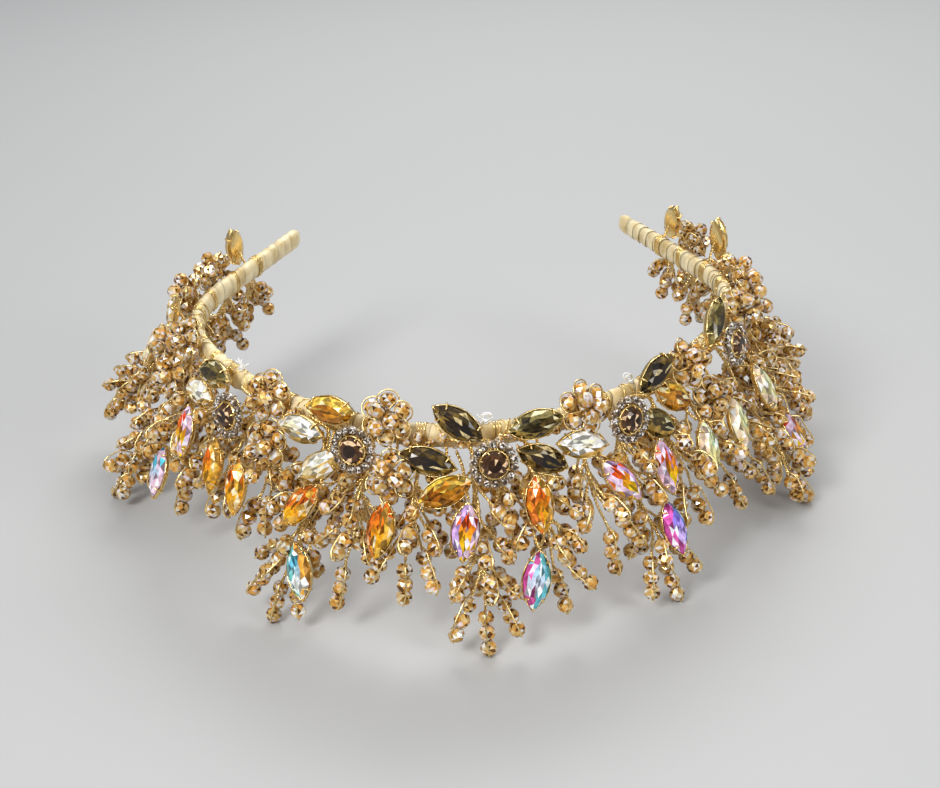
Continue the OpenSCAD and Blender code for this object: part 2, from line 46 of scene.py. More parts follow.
# ---- driving dimensions, the same as the part's ----
FRONT_R, SIDE_R, EAR_R, END_LENGTH = 46.0, 100.0, 42.0, 43.0
TURN_A, TURN_B, TURN_C = 26.0, 66.0, 115.0
BAND_Z, WRAP_D, WRAP_T = 46.0, 5.2, 3.0
STONE_L, STONE_W, STONE_H = 13.4, 6.4, 2.7
CENTRE_STONE, HALO_COUNT = 6.2, 14
BEAD_R, PITCH = 2.0, 3.4
CLUSTER_RING = 2 * BEAD_R + 0.1
BEAD_END = BEAD_R * 0.8
WIRE_R = 0.225
WRAP_FRONT = WRAP_T / 2
WRAP_TOP = BAND_Z + WRAP_D / 2
FLOWER_LEAN = 14
ORIGIN = np.array([-3.11, 51.85])
UP = np.array([0.0, 0.0, 1.0])

# Flowers: [station, outward, height]
FLOWERS = [[5, 8, 43], [-22.6, 8, 44.8], [-59.5, 8, 42], [35.4, 8, 45.5], [76.5, 7, 47.6]]

# Marquise stones, petals and then drops: [station, outward, height, angle, lean]
SMOKY = [
    [-1.5, 4.6, 52, -37, 12], [-8, 5.4, 42.6, -14, 12],
    [15.5, 5.4, 40.6, -30, 12], [46.5, 4.8, 52, 22, 14],
]
OLIVE = [[14.5, 4.6, 49.5, 4, 16], [-69, 5, 48.4, 4, 20], [45, 7, 40.2, -36, 14], [70, 4.6, 56, 40, 18]]
CHAMPAGNE = [
    [24.5, 6.2, 42, -16, 14], [-39, 4.8, 44.2, 0, 12], [-31.6, 8.4, 38, 37, 22],
    [-74.5, 7, 41.5, 4, 16], [-102, 4.6, 51.5, 58, 12], [-143, 4.4, 52, 70, 10], [149, 4.4, 51.5, 118, 10],
]
AMBER = [
    [-4.4, 9.2, 36.8, 24, 22], [-30, 4.6, 51.6, 3, 14],
    [52.6, 5, 43.4, -34, 14], [126, 4.4, 54.2, 98, 10], [85, 5, 43.6, -50, 16],
]
DROPS_AMBER = [
    [-33.5, 14.4, 30, 56, 26], [-15.5, 14.8, 28.8, 84, 26], [12.5, 12.4, 33, 88, 26],
    [-59.5, 14.6, 30.4, 104, 26], [-51, 15.4, 28.8, 102, 26],
]
DROPS_VIOLET = [
    [-0.8, 14.8, 29.4, 82, 26], [30.5, 12.4, 33, -57, 26], [42, 13.2, 32, -92, 26],
    [40, 18.6, 18.5, -90, 28], [-73, 13, 33, 108, 28],
]
DROPS_AQUA = [[10, 20, 18, 74, 28], [-31.5, 20, 15.5, -66, 28], [-79, 19, 20, 108, 30], [87, 20, 19, -82, 30]]
DROPS_PALE = [
    [55, 13.8, 31, -100, 26], [68, 13.2, 31, -104, 28],
    [81.5, 13.6, 34, -88, 28], [-110, 13, 37, 92, 28],
]
PETALS = SMOKY + OLIVE + CHAMPAGNE + AMBER
DROPS = DROPS_AMBER + DROPS_VIOLET + DROPS_AQUA + DROPS_PALE

# Sprays: [station on the band, station, outward and height of the tip, kind]
SPRAYS = [
    [1, 2, 21.6, 0, 0], [-10, -12, 17.5, 12.5, 0], [13, 15, 19, 8.5, 0], [7, 8, 9, 21, 1],
    [-21, -24, 19.4, 9.5, 0], [-33, -38, 22.6, 0, 0], [-46, -49.5, 16.4, 17, 0], [-57, -61, 16, 17.5, 0],
    [-27.5, -29, 10, 20, 1],
    [25, 27, 17, 13, 0], [35, 39, 22, 0, 0], [48, 51.5, 17.6, 14.5, 0], [59, 63, 18.6, 13, 0],
    [-69, -71.5, 18.8, 14, 1], [-79, -83, 20, 16, 0], [-90, -99, 27.4, 0, 1], [-99, -106, 17, 24, 0],
    [70, 74, 20, 11, 0], [79, 85.5, 26, 0, 1], [90, 97, 23, 9, 0], [101, 109, 22, 15, 0],
    [-109, -118, 34, 10, 1], [-120, -128, 19, 0, 0], [-133, -139, 12, 20, 2], [-145, -150, 9, 26, 2],
    [113, 123, 29, 0, 0], [124, 133, 17, 17, 0], [136, 142, 12, 22, 2], [147, 151, 9, 27, 2],
]
# First and last spray of each stretch of the band
REGIONS = {
    "front": (0, 3), "front_left": (4, 8), "front_right": (9, 12), "side_left": (13, 16),
    "side_right": (17, 20), "rear_left": (21, 24), "rear_right": (25, 28),
}
# Length of the end twig of each kind of spray
END_TWIG = [17, 12, 11]

# Bead clusters tied on the band: [station, outward, height, lean]
CLUSTERS_TOP = [
    [-16.6, 4.2, 52, 20], [-49.5, 4.4, 49.4, 24], [26.6, 4.4, 50, 24], [60, 4.4, 49, 24],
    [-88, 4.4, 50, 24], [-116, 4.2, 50, 24], [-130, 4, 50, 20], [90, 4.4, 50.5, 24],
    [104, 4.4, 50, 24], [115, 4.4, 49, 24], [138, 4, 50, 20],
]
CLUSTERS_LOW = [
    [-15.4, 7.8, 38.8, 24], [-47.4, 8.4, 38.8, 24], [64.4, 8, 38.6, 24], [-91, 8.6, 39.2, 26],
    [98, 8.6, 39.4, 26], [-103, 8, 41, 24], [-122, 7, 41, 24], [129, 7, 41.4, 24],
]
# Small beads wound on the band: [first station, how many]
WOUND = [[-13, 4], [-1, 1], [7, 2], [20, 2], [68, 2], [-44, 2], [-76, 2], [115, 3], [-138, 2]]
# Stations of the thread knots
KNOTS = [4.5, -66, 44]


# ---- the band's plan and the places along it ----
def sind(a):
    return math.sin(math.radians(a))


def cosd(a):
    return math.cos(math.radians(a))


def unit(v):
    v = np.asarray(v, float)
    return v / np.linalg.norm(v)


# Distance along the band and plan position where each arc ends
S_A = FRONT_R * math.radians(TURN_A)
S_B = S_A + SIDE_R * math.radians(TURN_B - TURN_A)
S_C = S_B + EAR_R * math.radians(TURN_C - TURN_B)
S_END = S_C + END_LENGTH
P_A = FRONT_R * np.array([sind(TURN_A), 1 - cosd(TURN_A)])
P_B = P_A + SIDE_R * np.array([sind(TURN_B) - sind(TURN_A), cosd(TURN_A) - cosd(TURN_B)])
P_C = P_B + EAR_R * np.array([sind(TURN_C) - sind(TURN_B), cosd(TURN_B) - cosd(TURN_C)])


def turn_at(t):
    """Degrees the band has turned at a distance t from its middle."""
    if t < S_A:
        return math.degrees(t / FRONT_R)
    if t < S_B:
        return TURN_A + math.degrees((t - S_A) / SIDE_R)
    if t < S_C:
        return TURN_B + math.degrees((t - S_B) / EAR_R)
    return TURN_C


def plan_at(t):
    h = turn_at(t)
    if t < S_A:
        return FRONT_R * np.array([sind(h), 1 - cosd(h)])
    if t < S_B:
        return P_A + SIDE_R * np.array([sind(h) - sind(TURN_A), cosd(TURN_A) - cosd(h)])
    if t < S_C:
        return P_B + EAR_R * np.array([sind(h) - sind(TURN_B), cosd(TURN_B) - cosd(h)])
    return P_C + (t - S_C) * np.array([cosd(TURN_C), sind(TURN_C)])


def heading(s):
    return math.copysign(turn_at(abs(s)), s)


def along(s):
    return np.array([cosd(heading(s)), sind(heading(s)), 0.0])


def outward(s):
    return np.array([sind(heading(s)), -cosd(heading(s)), 0.0])


def at(s, out, z):
    """The point at a station along the band, a distance outwards and a height."""
    x, y = plan_at(abs(s))
    return np.array([math.copysign(x, s) - ORIGIN[0], y - ORIGIN[1], z]) + out * outward(s)


class Place:
    """A point and three axes, the columns of a matrix."""

    def __init__(self, origin, axes):
        self.origin, self.axes = np.asarray(origin, float), np.asarray(axes, float)

    def __call__(self, pts):
        return np.asarray(pts, float) @ self.axes.T + self.origin

    def turned(self, rot, shift=(0, 0, 0)):
        return Place(self(shift), self.axes @ rot)


def rot_z(a):
    return np.array([[cosd(a), -sind(a), 0], [sind(a), cosd(a), 0], [0, 0, 1]])


def rot_x(a):
    return np.array([[1, 0, 0], [0, cosd(a), -sind(a)], [0, sind(a), cosd(a)]])


def rot_y(a):
    return np.array([[cosd(a), 0, sind(a)], [0, 1, 0], [-sind(a), 0, cosd(a)]])


def facing(s, out, z, lean, spin=0):
    """Local X along the band, Y up and Z outwards, tipped back by lean, then turned about Z."""
    a, o = along(s), outward(s)
    axes = np.array([a, cosd(lean) * UP - sind(lean) * o, cosd(lean) * o + sind(lean) * UP]).T
    return Place(at(s, out, z), axes @ rot_z(spin))


# ---- where the twigs of each spray go, by the part's own rule ----
OVERLAP = 0.05
STEM_R, TWIG_R, STEM_STEP = 0.4, 0.3, 2.4


def foot(r):
    return at(r[0], WRAP_FRONT + 0.9, BAND_Z - 2)


def rest_height(lean):
    """Height of a bead's centre when it lies on the table, on its side or on its flat end's rim."""
    return BEAD_R if lean > 37 else BEAD_R * (0.8 * cosd(lean) + 0.6 * sind(lean))


def tip(r):
    """A spray with tip height 0 stands on the table."""
    if r[3] > 0:
        return at(r[1], r[2], r[3])
    p = foot(r)
    lean = math.degrees(math.acos((p[2] - BEAD_R) / np.linalg.norm(at(r[1], r[2], BEAD_R) - p)))
    return at(r[1], r[2], rest_height(lean))


class Spray:
    """A stem with local Z from the band to its tip and X along the band, and its twigs.

    A twig is [start on the stem, lean towards X, lean towards Y, length, number of beads].
    """

    def __init__(self, row):
        self.foot, self.kind = foot(row), row[4]
        self.length = np.linalg.norm(tip(row) - self.foot)
        d = (tip(row) - self.foot) / self.length
        h = along(row[0])
        x = unit(h - (h @ d) * d)
        self.place = Place(self.foot, np.array([x, np.cross(d, x), d]).T)
        self.twigs = []

    def twig_place(self, t):
        """Local Z up a twig from where it leaves the stem."""
        return self.place.turned(rot_x(-t[2]) @ rot_y(t[1]), (0, 0, t[0]))


def twig_dir(t):
    return np.array([cosd(t[2]) * sind(t[1]), sind(t[2]), cosd(t[2]) * cosd(t[1])])


def twig_points(spray, t, steps):
    return spray.place(np.array([0, 0, t[0]]) + np.asarray(steps)[:, None] * twig_dir(t))


def beads_of(spray, t):
    """Bead centres, from the twig's end inwards."""
    return twig_points(spray, t, [t[3] - k * PITCH for k in range(t[4])])


def stem_of(spray, t):
    """Points along the bare wire below a twig's beads."""
    end = t[3] - (t[4] - 1) * PITCH - BEAD_R - STEM_R
    return twig_points(spray, t, np.arange(3, end + 1e-6, STEM_STEP))


def end_twigs(n, kind):
    """The end of a stem of length n: one twig straight on and two beside it."""
    if kind == 0:
        return [[n - 17, 0, 0, 17, 3], [n - 19, 25, 4, 16.5, 3], [n - 19, -25, 4, 16.5, 3]]
    if kind == 1:
        return [[n - 12, 0, 0, 12, 3], [n - 15, 27, 5, 12, 2], [n - 15, -27, 5, 12, 2]]
    return [[n - 11, 0, 0, 11, 2], [n - 13, 26, 0, 10.5, 2], [n - 13, -26, 0, 10.5, 2]]


def side_twigs(n, kind):
    """Six twigs every 4 mm down the stem."""
    spread, long = (30, 9.5) if kind == 1 else (36, 11.5)
    rows = []
    z = n - END_TWIG[kind] - 5
    while z > 2 - 1e-9:
        rows += [[z, -spread, 16, long, 2], [z, spread, 16, long, 2]]
        rows += [[z - 1.5, 4 - spread, -18, long, 2], [z - 1.5, spread - 4, -18, long, 2]]
        rows += [[z, 6, 36, long, 2], [z, -6, -34, long, 2]]
        z -= 4
    return rows


def fill_twigs(n, kind):
    """Short twigs in every direction that fill the gaps between the longer ones."""
    rows = []
    z = n - END_TWIG[kind] - 2
    while z > 4 - 1e-9:
        rows += [[z, 40 * cosd(k * 45 + 20), 30 * sind(k * 45 + 20), 8 if k % 2 else 10, 2] for k in range(8)]
        rows += [[z - 1.5, 52 * cosd(k * 45), 40 * sind(k * 45), 6 if k % 2 else 7.5, 1] for k in range(8)]
        z -= 3
    return rows


def solid_spots():
    """Centres and radii of balls that fill the stones, flowers and clusters."""
    spots = []
    for r in PETALS + DROPS:
        place = facing(*r[:3], r[4])
        for u, size in ((-1.9, 1.2), (-1, 2.3), (0, 2.9), (1, 2.3), (1.9, 1.2)):
            spots.append((place([u * 3.2 * cosd(r[3]), u * 3.2 * sind(r[3]), 0.9]), size))
    for f in FLOWERS:
        place = facing(*f, FLOWER_LEAN)
        spots += [(place([3.8 * cosd(a), 3.8 * sind(a), 0.6]), 1.9) for a in range(0, 360, 60)]
        spots.append((place([0, 0, 1.4]), 1.9))
    p = CLUSTER_RING
    for r in CLUSTERS_TOP + CLUSTERS_LOW:
        place = facing(*r)
        spots += [(place([p * cosd(a), p * sind(a), 0]), BEAD_R) for a in range(30, 390, 60)]
        spots.append((place([0, 0, 1]), BEAD_R))
    return np.array([p for p, _ in spots]), np.array([r for _, r in spots])


def grow():
    """Keeps the first end twig of each spray, then each twig that clears all that was kept before."""
    sprays = [Spray(r) for r in SPRAYS]
    spots, sizes = solid_spots()
    stems = [s.foot + l * s.place.axes[:, 2] for s in sprays
             for l in np.arange(2, s.length - END_TWIG[s.kind] + 1e-6, STEM_STEP)]
    beads = []
    tries = [(s, end_twigs(s.length, s.kind)[0], True) for s in sprays]
    tries += [(s, t, False) for s in sprays for t in end_twigs(s.length, s.kind)[1:]]
    tries += [(s, t, False) for s in sprays for t in side_twigs(s.length, s.kind)]
    tries += [(s, t, False) for s in sprays for t in fill_twigs(s.length, s.kind)]

    def far(p, others, gap):
        return not others or np.min(np.linalg.norm(np.array(others) - p, axis=1)) >= gap

    for spray, t, always in tries:
        mine, stem = beads_of(spray, t), stem_of(spray, t)
        if not always:
            if any(b[2] <= BEAD_R - OVERLAP or not far(b, beads, 2 * BEAD_R - OVERLAP)
                   or not far(b, stems, BEAD_R + STEM_R)
                   or np.any(np.linalg.norm(spots - b, axis=1) < BEAD_R + sizes) for b in mine):
                continue
            if any(not far(q, beads, BEAD_R + TWIG_R) for q in stem):
                continue
        spray.twigs.append(t)
        beads += list(mine)
        stems += list(stem)
    return sprays


sprays = grow()


# ---- mesh code ----
SWAY = 0.42


def sway(pts):
    """Small smooth bends that handling leaves in soft wire; none at the table or the band."""
    p = np.atleast_2d(np.asarray(pts, float))
    x, y, z = p.T
    free = np.clip((z - 2) / 14, 0, 1) * np.clip((BAND_Z - 2 - z) / 8, 0, 1)
    dx = np.sin(0.31 * y + 0.23 * z + 1.3) + 0.6 * np.sin(0.43 * x - 0.37 * z)
    dy = np.sin(0.29 * x + 0.27 * z + 4.1) + 0.6 * np.sin(0.41 * y + 0.35 * z)
    dz = np.sin(0.33 * x + 0.21 * y + 2.2)
    out = p + SWAY * free[:, None] * np.stack([dx, dy, 0.7 * dz], 1)
    return out if np.ndim(pts) == 2 else out[0]


class Piece:
    """Collects parts of one piece, with a colour for each face, and makes its object."""

    def __init__(self):
        self.verts, self.faces, self.tones, self.smooth, self.size = [], [], [], [], 0

    def add(self, verts, faces, tones=(1, 1, 1), smooth=False):
        verts = np.asarray(verts, float)
        tones = np.broadcast_to(np.asarray(tones, float), (len(faces), 3))
        self.verts.append(verts)
        self.faces += [[int(i) + self.size for i in f] for f in faces]
        self.tones.append(tones)
        self.smooth += [smooth] * len(faces)
        self.size += len(verts)

    def build(self, name, material, nodes, slot):
        mesh = bpy.data.meshes.new(name)
        points = np.concatenate(self.verts) * MM
        points[:, 2] = np.maximum(points[:, 2], 0)
        mesh.from_pydata(points.tolist(), [], self.faces)
        mesh.polygons.foreach_set("use_smooth", self.smooth)
        counts = np.array([len(f) for f in self.faces])
        rows = np.repeat(np.concatenate(self.tones), counts, axis=0)
        tint = mesh.attributes.new("facet", "FLOAT_COLOR", "CORNER")
        tint.data.foreach_set("color", np.hstack([rows, np.ones((len(rows), 1))]).ravel())
        mesh.materials.append(material)
        mesh.update()
        obj = bpy.data.objects.new(name, mesh)
        bpy.context.scene.collection.objects.link(obj)
        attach(obj, "root")
        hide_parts(*nodes)
        return obj


def rings_faces(rows, cols, capped=False):
    """Quads between rings of points, with one face over each end if capped."""
    f = []
    for j in range(rows - 1):
        for i in range(cols):
            a, b = j * cols + i, j * cols + (i + 1) % cols
            f.append([a, b, b + cols, a + cols])
    if capped:
        f.append(list(range(cols))[::-1])
        f.append([(rows - 1) * cols + i for i in range(cols)])
    return f


def frames_along(pts):
    """Two normals carried along a path without twisting."""
    pts = np.asarray(pts, float)
    t = np.gradient(pts, axis=0)
    t /= np.linalg.norm(t, axis=1)[:, None]
    n = np.zeros_like(t)
    h = np.array([0.3, 0.2, 0.9]) if abs(t[0][2]) < 0.9 else np.array([0.9, 0.3, 0.1])
    n[0] = unit(h - (h @ t[0]) * t[0])
    for i in range(1, len(pts)):
        v = n[i - 1] - (n[i - 1] @ t[i]) * t[i]
        n[i] = v / np.linalg.norm(v)
    return n, np.cross(t, n)


def tube(piece, pts, radius, sides=6, tone=(1, 1, 1)):
    """A round wire along a path; radius may change along it."""
    pts = np.asarray(pts, float)
    n, b = frames_along(pts)
    radius = np.broadcast_to(radius, len(pts))
    a = np.arange(sides) * 2 * math.pi / sides
    round_it = np.cos(a)[None, :, None] * n[:, None] + np.sin(a)[None, :, None] * b[:, None]
    ring = pts[:, None] + radius[:, None, None] * round_it
    piece.add(ring.reshape(-1, 3), rings_faces(len(pts), sides, True), tone, True)


def resample(pts, step):
    """Points evenly spread along a path, and their distances along it."""
    pts = np.asarray(pts, float)
    d = np.concatenate([[0], np.cumsum(np.linalg.norm(np.diff(pts, axis=0), axis=1))])
    u = np.linspace(0, d[-1], max(int(d[-1] / step), 3) + 1)
    return np.stack([np.interp(u, d, pts[:, k]) for k in range(3)], 1), u


def curve(points, steps):
    """A smooth path through the points."""
    p = np.asarray(points, float)
    p = np.vstack([2 * p[0] - p[1], p, 2 * p[-1] - p[-2]])
    out = []
    for i in range(1, len(p) - 2):
        for u in np.arange(steps) / steps:
            out.append(0.5 * (2 * p[i] + (p[i + 1] - p[i - 1]) * u
                              + (2 * p[i - 1] - 5 * p[i] + 4 * p[i + 1] - p[i + 2]) * u * u
                              + (3 * p[i] - p[i - 1] - 3 * p[i + 1] + p[i + 2]) * u ** 3))
    return np.array(out + [p[-2]])


def rope(piece, pts, strands, offset, radius, lay, phase=0.0):
    """Strands twisted round a path, one turn in each length of lay, as hand-twisted wire is."""
    pts, u = resample(pts, 0.3)
    n, b = frames_along(pts)
    for k in range(strands):
        a = phase + 2 * math.pi * (u / lay + k / strands)
        strand = pts + offset * (np.cos(a)[:, None] * n + np.sin(a)[:, None] * b)
        tube(piece, strand, radius, 5, wire_tone())


def wire_tone():
    return np.array([1, 0.97, 0.9]) * rng.uniform(0.85, 1.05)


# ---- crystal beads ----
BEAD_SIDES = 8
# Dark colour of the faces inside each bead's hole, painted shade in the bore; the dark core facets share it.
BORE_TONE = (0.15, 0.058, 0.008)
# Colours of a bead's facets: dark core, honey, peach, champagne, pale, lilac (the coating's tint, painted as
# a sheen) and white (a painted highlight)
BEAD_TONES_AND_HIGHLIGHTS = np.array([
    BORE_TONE, (0.54, 0.26, 0.04), (0.82, 0.4, 0.08), (0.78, 0.49, 0.15),
    (0.94, 0.71, 0.35), (0.88, 0.72, 0.7), (1.0, 0.98, 0.92),
])
BEAD_ODDS = np.array([0.14, 0.19, 0.11, 0.22, 0.14, 0.05, 0.15])


def bead_shape():
    """A fire-polished bead, unit radius, bored along Z: triangular facets over two zones."""
    n = BEAD_SIDES
    rings = [(0.17, 0.8, 0), (0.58, 0.8, 0), (0.9, 0.42, 0.5), (1.0, 0.0, 0),
             (0.9, -0.42, 0.5), (0.58, -0.8, 0), (0.17, -0.8, 0)]
    v = [(r * math.cos(2 * math.pi * (i + o) / n), r * math.sin(2 * math.pi * (i + o) / n), z)
         for r, z, o in rings for i in range(n)]
    f = []
    for j in range(len(rings) - 1):
        o0, o1 = rings[j][2], rings[j + 1][2]
        for i in range(n):
            k = (i + 1) % n
            a, b, c, d = j * n + i, j * n + k, (j + 1) * n + k, (j + 1) * n + i
            if o0 == o1:
                f.append([a, d, c, b])
            elif o1 > o0:
                f += [[a, d, b], [b, d, c]]
            else:
                f += [[a, d, c], [a, c, b]]
    f += [[i, (i + 1) % n, 6 * n + (i + 1) % n, 6 * n + i] for i in range(n)]
    return np.array(v), f


BEAD_V, BEAD_F = bead_shape()
BORE_FACES = BEAD_SIDES


def bead(piece, place, r=BEAD_R):
    spin = rot_z(rng.uniform(0, 45))
    warmth = rng.uniform(0.72, 1.04)
    # Each facet takes one listed colour at random; the lilac picks are painted coating sheen, the white picks
    # painted highlights.
    pick = rng.choice(len(BEAD_TONES_AND_HIGHLIGHTS), len(BEAD_F), p=BEAD_ODDS)
    tones = BEAD_TONES_AND_HIGHLIGHTS[pick] * warmth * rng.uniform(0.86, 1.06, (len(BEAD_F), 1))
    # Painted shade in the bore: the faces inside the hole take the dark bore colour.
    tones[-BORE_FACES:] = BORE_TONE
    piece.add(place(r * BEAD_V @ spin.T), BEAD_F, np.clip(tones, 0, 1))


# ---- marquise stones ----
def edge_y(x, a, b):
    """Half width at x of a marquise, two arcs that meet in points, half length a, half width b."""
    big = (a * a + b * b) / (2 * b)
    return math.sqrt(max(big * big - x * x, 0)) - (a * a - b * b) / (2 * b)


def lens(a, b, z, n, off=0.0):
    """Points round a marquise outline, evenly spread in angle."""
    out = []
    for i in range(n):
        q = 2 * math.pi * (i + off) / n
        x = a * math.cos(q)
        edge = max(edge_y(abs(x), a, b), 0)
        out.append((x, math.copysign(edge, math.sin(q)) if abs(math.sin(q)) > 1e-9 else 0.0, z))
    return out


def between(n, base, top, shifted):
    """Triangles between two rings of n, the upper one shifted half a step."""
    f = []
    for i in range(n):
        k = (i + 1) % n
        a, b, c, d = base + i, base + k, top + k, top + i
        f += [[a, b, d], [b, c, d]] if shifted else [[a, c, d], [a, b, c]]
    return f


STONE_SIDES = 12


def stone_shape():
    """A marquise stone with a flat table over a band of crown facets, long axis X, table +Z."""
    n, a, b, h = STONE_SIDES, STONE_L / 2, STONE_W / 2, STONE_H
    v = lens(a * 0.6, b * 0.45, 0, n) + lens(a, b, h * 0.34, n) + lens(a, b, h * 0.46, n)
    v += lens(a * 0.8, b * 0.78, h * 0.82, n, 0.5) + lens(a * 0.64, b * 0.5, h, n)
    v += [(a * 0.26 * math.cos(q), b * 0.2 * math.sin(q), h) for q in np.arange(6) * math.pi / 3]
    v.append((0, 0, h))
    f = [list(range(n))[::-1]]
    f += rings_faces(3, n)
    f += between(n, 2 * n, 3 * n, True)
    f += [[3 * n + i, 4 * n + (i + 1) % n, 4 * n + i] for i in range(n)]
    f += [[3 * n + i, 3 * n + (i + 1) % n, 4 * n + (i + 1) % n] for i in range(n)]
    inner = 5 * n
    for i in range(n):
        k, p, q = (i + 1) % n, inner + (i // 2), inner + ((i + 1) // 2) % 6
        f.append([4 * n + i, 4 * n + k, q] if p == q else [4 * n + i, 4 * n + k, q, p])
    f += [[inner + i, inner + (i + 1) % 6, inner + 6] for i in range(6)]
    return np.array(v), f


STONE_V, STONE_F = stone_shape()
STONE_MID = np.array([STONE_V[f].mean(0) for f in STONE_F])

# Stone colours: table at the tip end and at the foot end; upper crown, lower crown and the colour of painted
# highlights
LOOKS = {
    "smoky": (
        (0.03, 0.013, 0.004), (0.01, 0.006, 0.003),
        (0.11, 0.068, 0.014), (0.24, 0.145, 0.026), (0.64, 0.5, 0.24),
    ),
    "olive": (
        (0.09, 0.055, 0.01), (0.035, 0.025, 0.006),
        (0.24, 0.19, 0.06), (0.4, 0.26, 0.05), (0.8, 0.72, 0.44),
    ),
    "champagne": (
        (1.0, 0.97, 0.82), (0.86, 0.7, 0.36),
        (1.0, 0.97, 0.84), (0.66, 0.42, 0.11), (1, 1, 1),
    ),
    "amber": (
        (0.62, 0.25, 0.012), (0.3, 0.085, 0.004),
        (0.95, 0.6, 0.08), (0.6, 0.24, 0.012), (1, 0.88, 0.5),
    ),
    "drop_amber": (
        (0.8, 0.13, 0.006), (0.98, 0.46, 0.012),
        (0.8, 0.2, 0.02), (0.92, 0.48, 0.06), (1, 0.82, 0.5),
    ),
    "violet": (
        (0.8, 0.07, 0.01), (1.0, 0.6, 0.012),
        (0.66, 0.42, 0.82), (0.9, 0.62, 0.8), (0.97, 0.93, 1),
    ),
    "aqua": (
        (0.3, 0.55, 0.72), (0.9, 0.84, 0.96),
        (0.7, 0.1, 0.36), (0.14, 0.56, 0.64), (0.94, 1, 1),
    ),
    "prism": (
        (0.06, 0.5, 0.72), (0.96, 0.95, 0.88),
        (0.9, 0.42, 0.06), (0.25, 0.72, 0.68), (0.96, 1, 0.92),
    ),
    "opal": (
        (0.08, 0.58, 0.8), (0.92, 0.7, 0.8),
        (0.3, 0.76, 0.82), (0.88, 0.6, 0.74), (1, 1, 1),
    ),
    "iris": (
        (0.22, 0.16, 0.72), (0.7, 0.5, 0.95),
        (0.15, 0.3, 0.8), (0.85, 0.12, 0.5), (0.95, 0.94, 1),
    ),
    "pale": (
        (0.8, 0.88, 0.5), (0.95, 0.76, 0.3),
        (0.45, 0.85, 0.66), (0.95, 0.72, 0.5), (1, 1, 0.94),
    ),
}

# Single stones whose coating shows other colours than the rest of their node: place in the list, look
OWN_LOOK = {"drops_violet": {3: "iris"}, "drops_aqua": {1: "prism", 2: "opal", 3: "violet"}}


def stone(piece, row, look):
    """Colours each facet by its place in the stone, lighter and darker at random as painted reflections, with
    a share of random painted highlights.
    """
    tip_end, foot_end, upper, lower, painted_highlight = (np.array(c) for c in LOOKS[look])
    place = facing(*row[:3], row[4], row[3])
    x, y, z = STONE_MID.T
    slide = np.clip(0.5 + math.copysign(1, row[3]) * x / (STONE_L * 0.4), 0, 1)[:, None]
    table = z[:, None] > STONE_H * 0.95
    core = tip_end * slide + foot_end * (1 - slide)
    crown = np.where(y[:, None] > 0, upper, lower)
    tones = np.where(table, core, crown)
    tones = np.where((~table) & (rng.random((len(x), 1)) < 0.2), core * 1.1, tones)
    tones = np.where(table & (rng.random((len(x), 1)) < 0.12), crown, tones)
    # Painted reflections: facets made lighter and darker at random, as they would catch light and dark
    # surroundings.
    tones = tones * rng.choice([0.3, 0.6, 0.85, 1.0, 1.25], (len(x), 1))
    # Painted highlights: a share of facets, none in the middle of the table, take the highlight colour.
    painted_highlight_mask = rng.random((len(x), 1)) < 0.11
    painted_highlight_mask[-6:] = False
    tones = np.where(painted_highlight_mask, painted_highlight, tones)
    piece.add(place(STONE_V), STONE_F, np.clip(tones, 0, 1))


def setting(piece, row):
    """A stamped cup with a scalloped rim and four claws bent over the stone."""
    place = facing(*row[:3], row[4], row[3])
    n, a, b, top = 40, STONE_L / 2, STONE_W / 2, STONE_H * 0.36
    rings = [
        lens(a * 0.55, b * 0.5, -0.48, n), lens(a * 0.9, b * 0.86, -0.45, n),
        lens(a + 0.2, b + 0.2, 0.1, n), lens(a + 0.3, b + 0.27, top, n),
        lens(a + 0.26, b + 0.24, top + 0.16, n), lens(a + 0.08, b + 0.07, top + 0.15, n),
        lens(a + 0.05, b + 0.05, 0.3, n), lens(a * 0.5, b * 0.5, 0.0, n),
    ]
    for k in (4, 5):
        rings[k] = [(x, y, z - (0.2 if i % 4 == 2 else 0)) for i, (x, y, z) in enumerate(rings[k])]
    piece.add(place(np.concatenate(rings)), rings_faces(len(rings), n, True), (1, 1, 1), True)
    for i in (-1, 1):
        for j in (-1, 1):
            x = i * STONE_L * 0.34
            e = edge_y(abs(x), a, b)
            path = curve([(x, j * (e + 0.3), -0.1), (x, j * (e + 0.3), top + 0.1),
                          (x * 0.97, j * (e + 0.1), STONE_H * 0.6),
                          (x * 0.93, j * (e - 0.45), STONE_H * 0.82)], 4)
            width = np.interp(np.linspace(0, 1, len(path)), [0, 0.7, 1], [0.26, 0.26, 0.16])
            tube(piece, place(path), width, 8)
        path = curve([(i * (a + 0.18), 0, 0.2), (i * (a + 0.16), 0, top + 0.2),
                      (i * (a - 0.45), 0, STONE_H * 0.6)], 4)
        width = np.interp(np.linspace(0, 1, len(path)), [0, 0.6, 1], [0.2, 0.26, 0.12])
        tube(piece, place(path), width, 8)


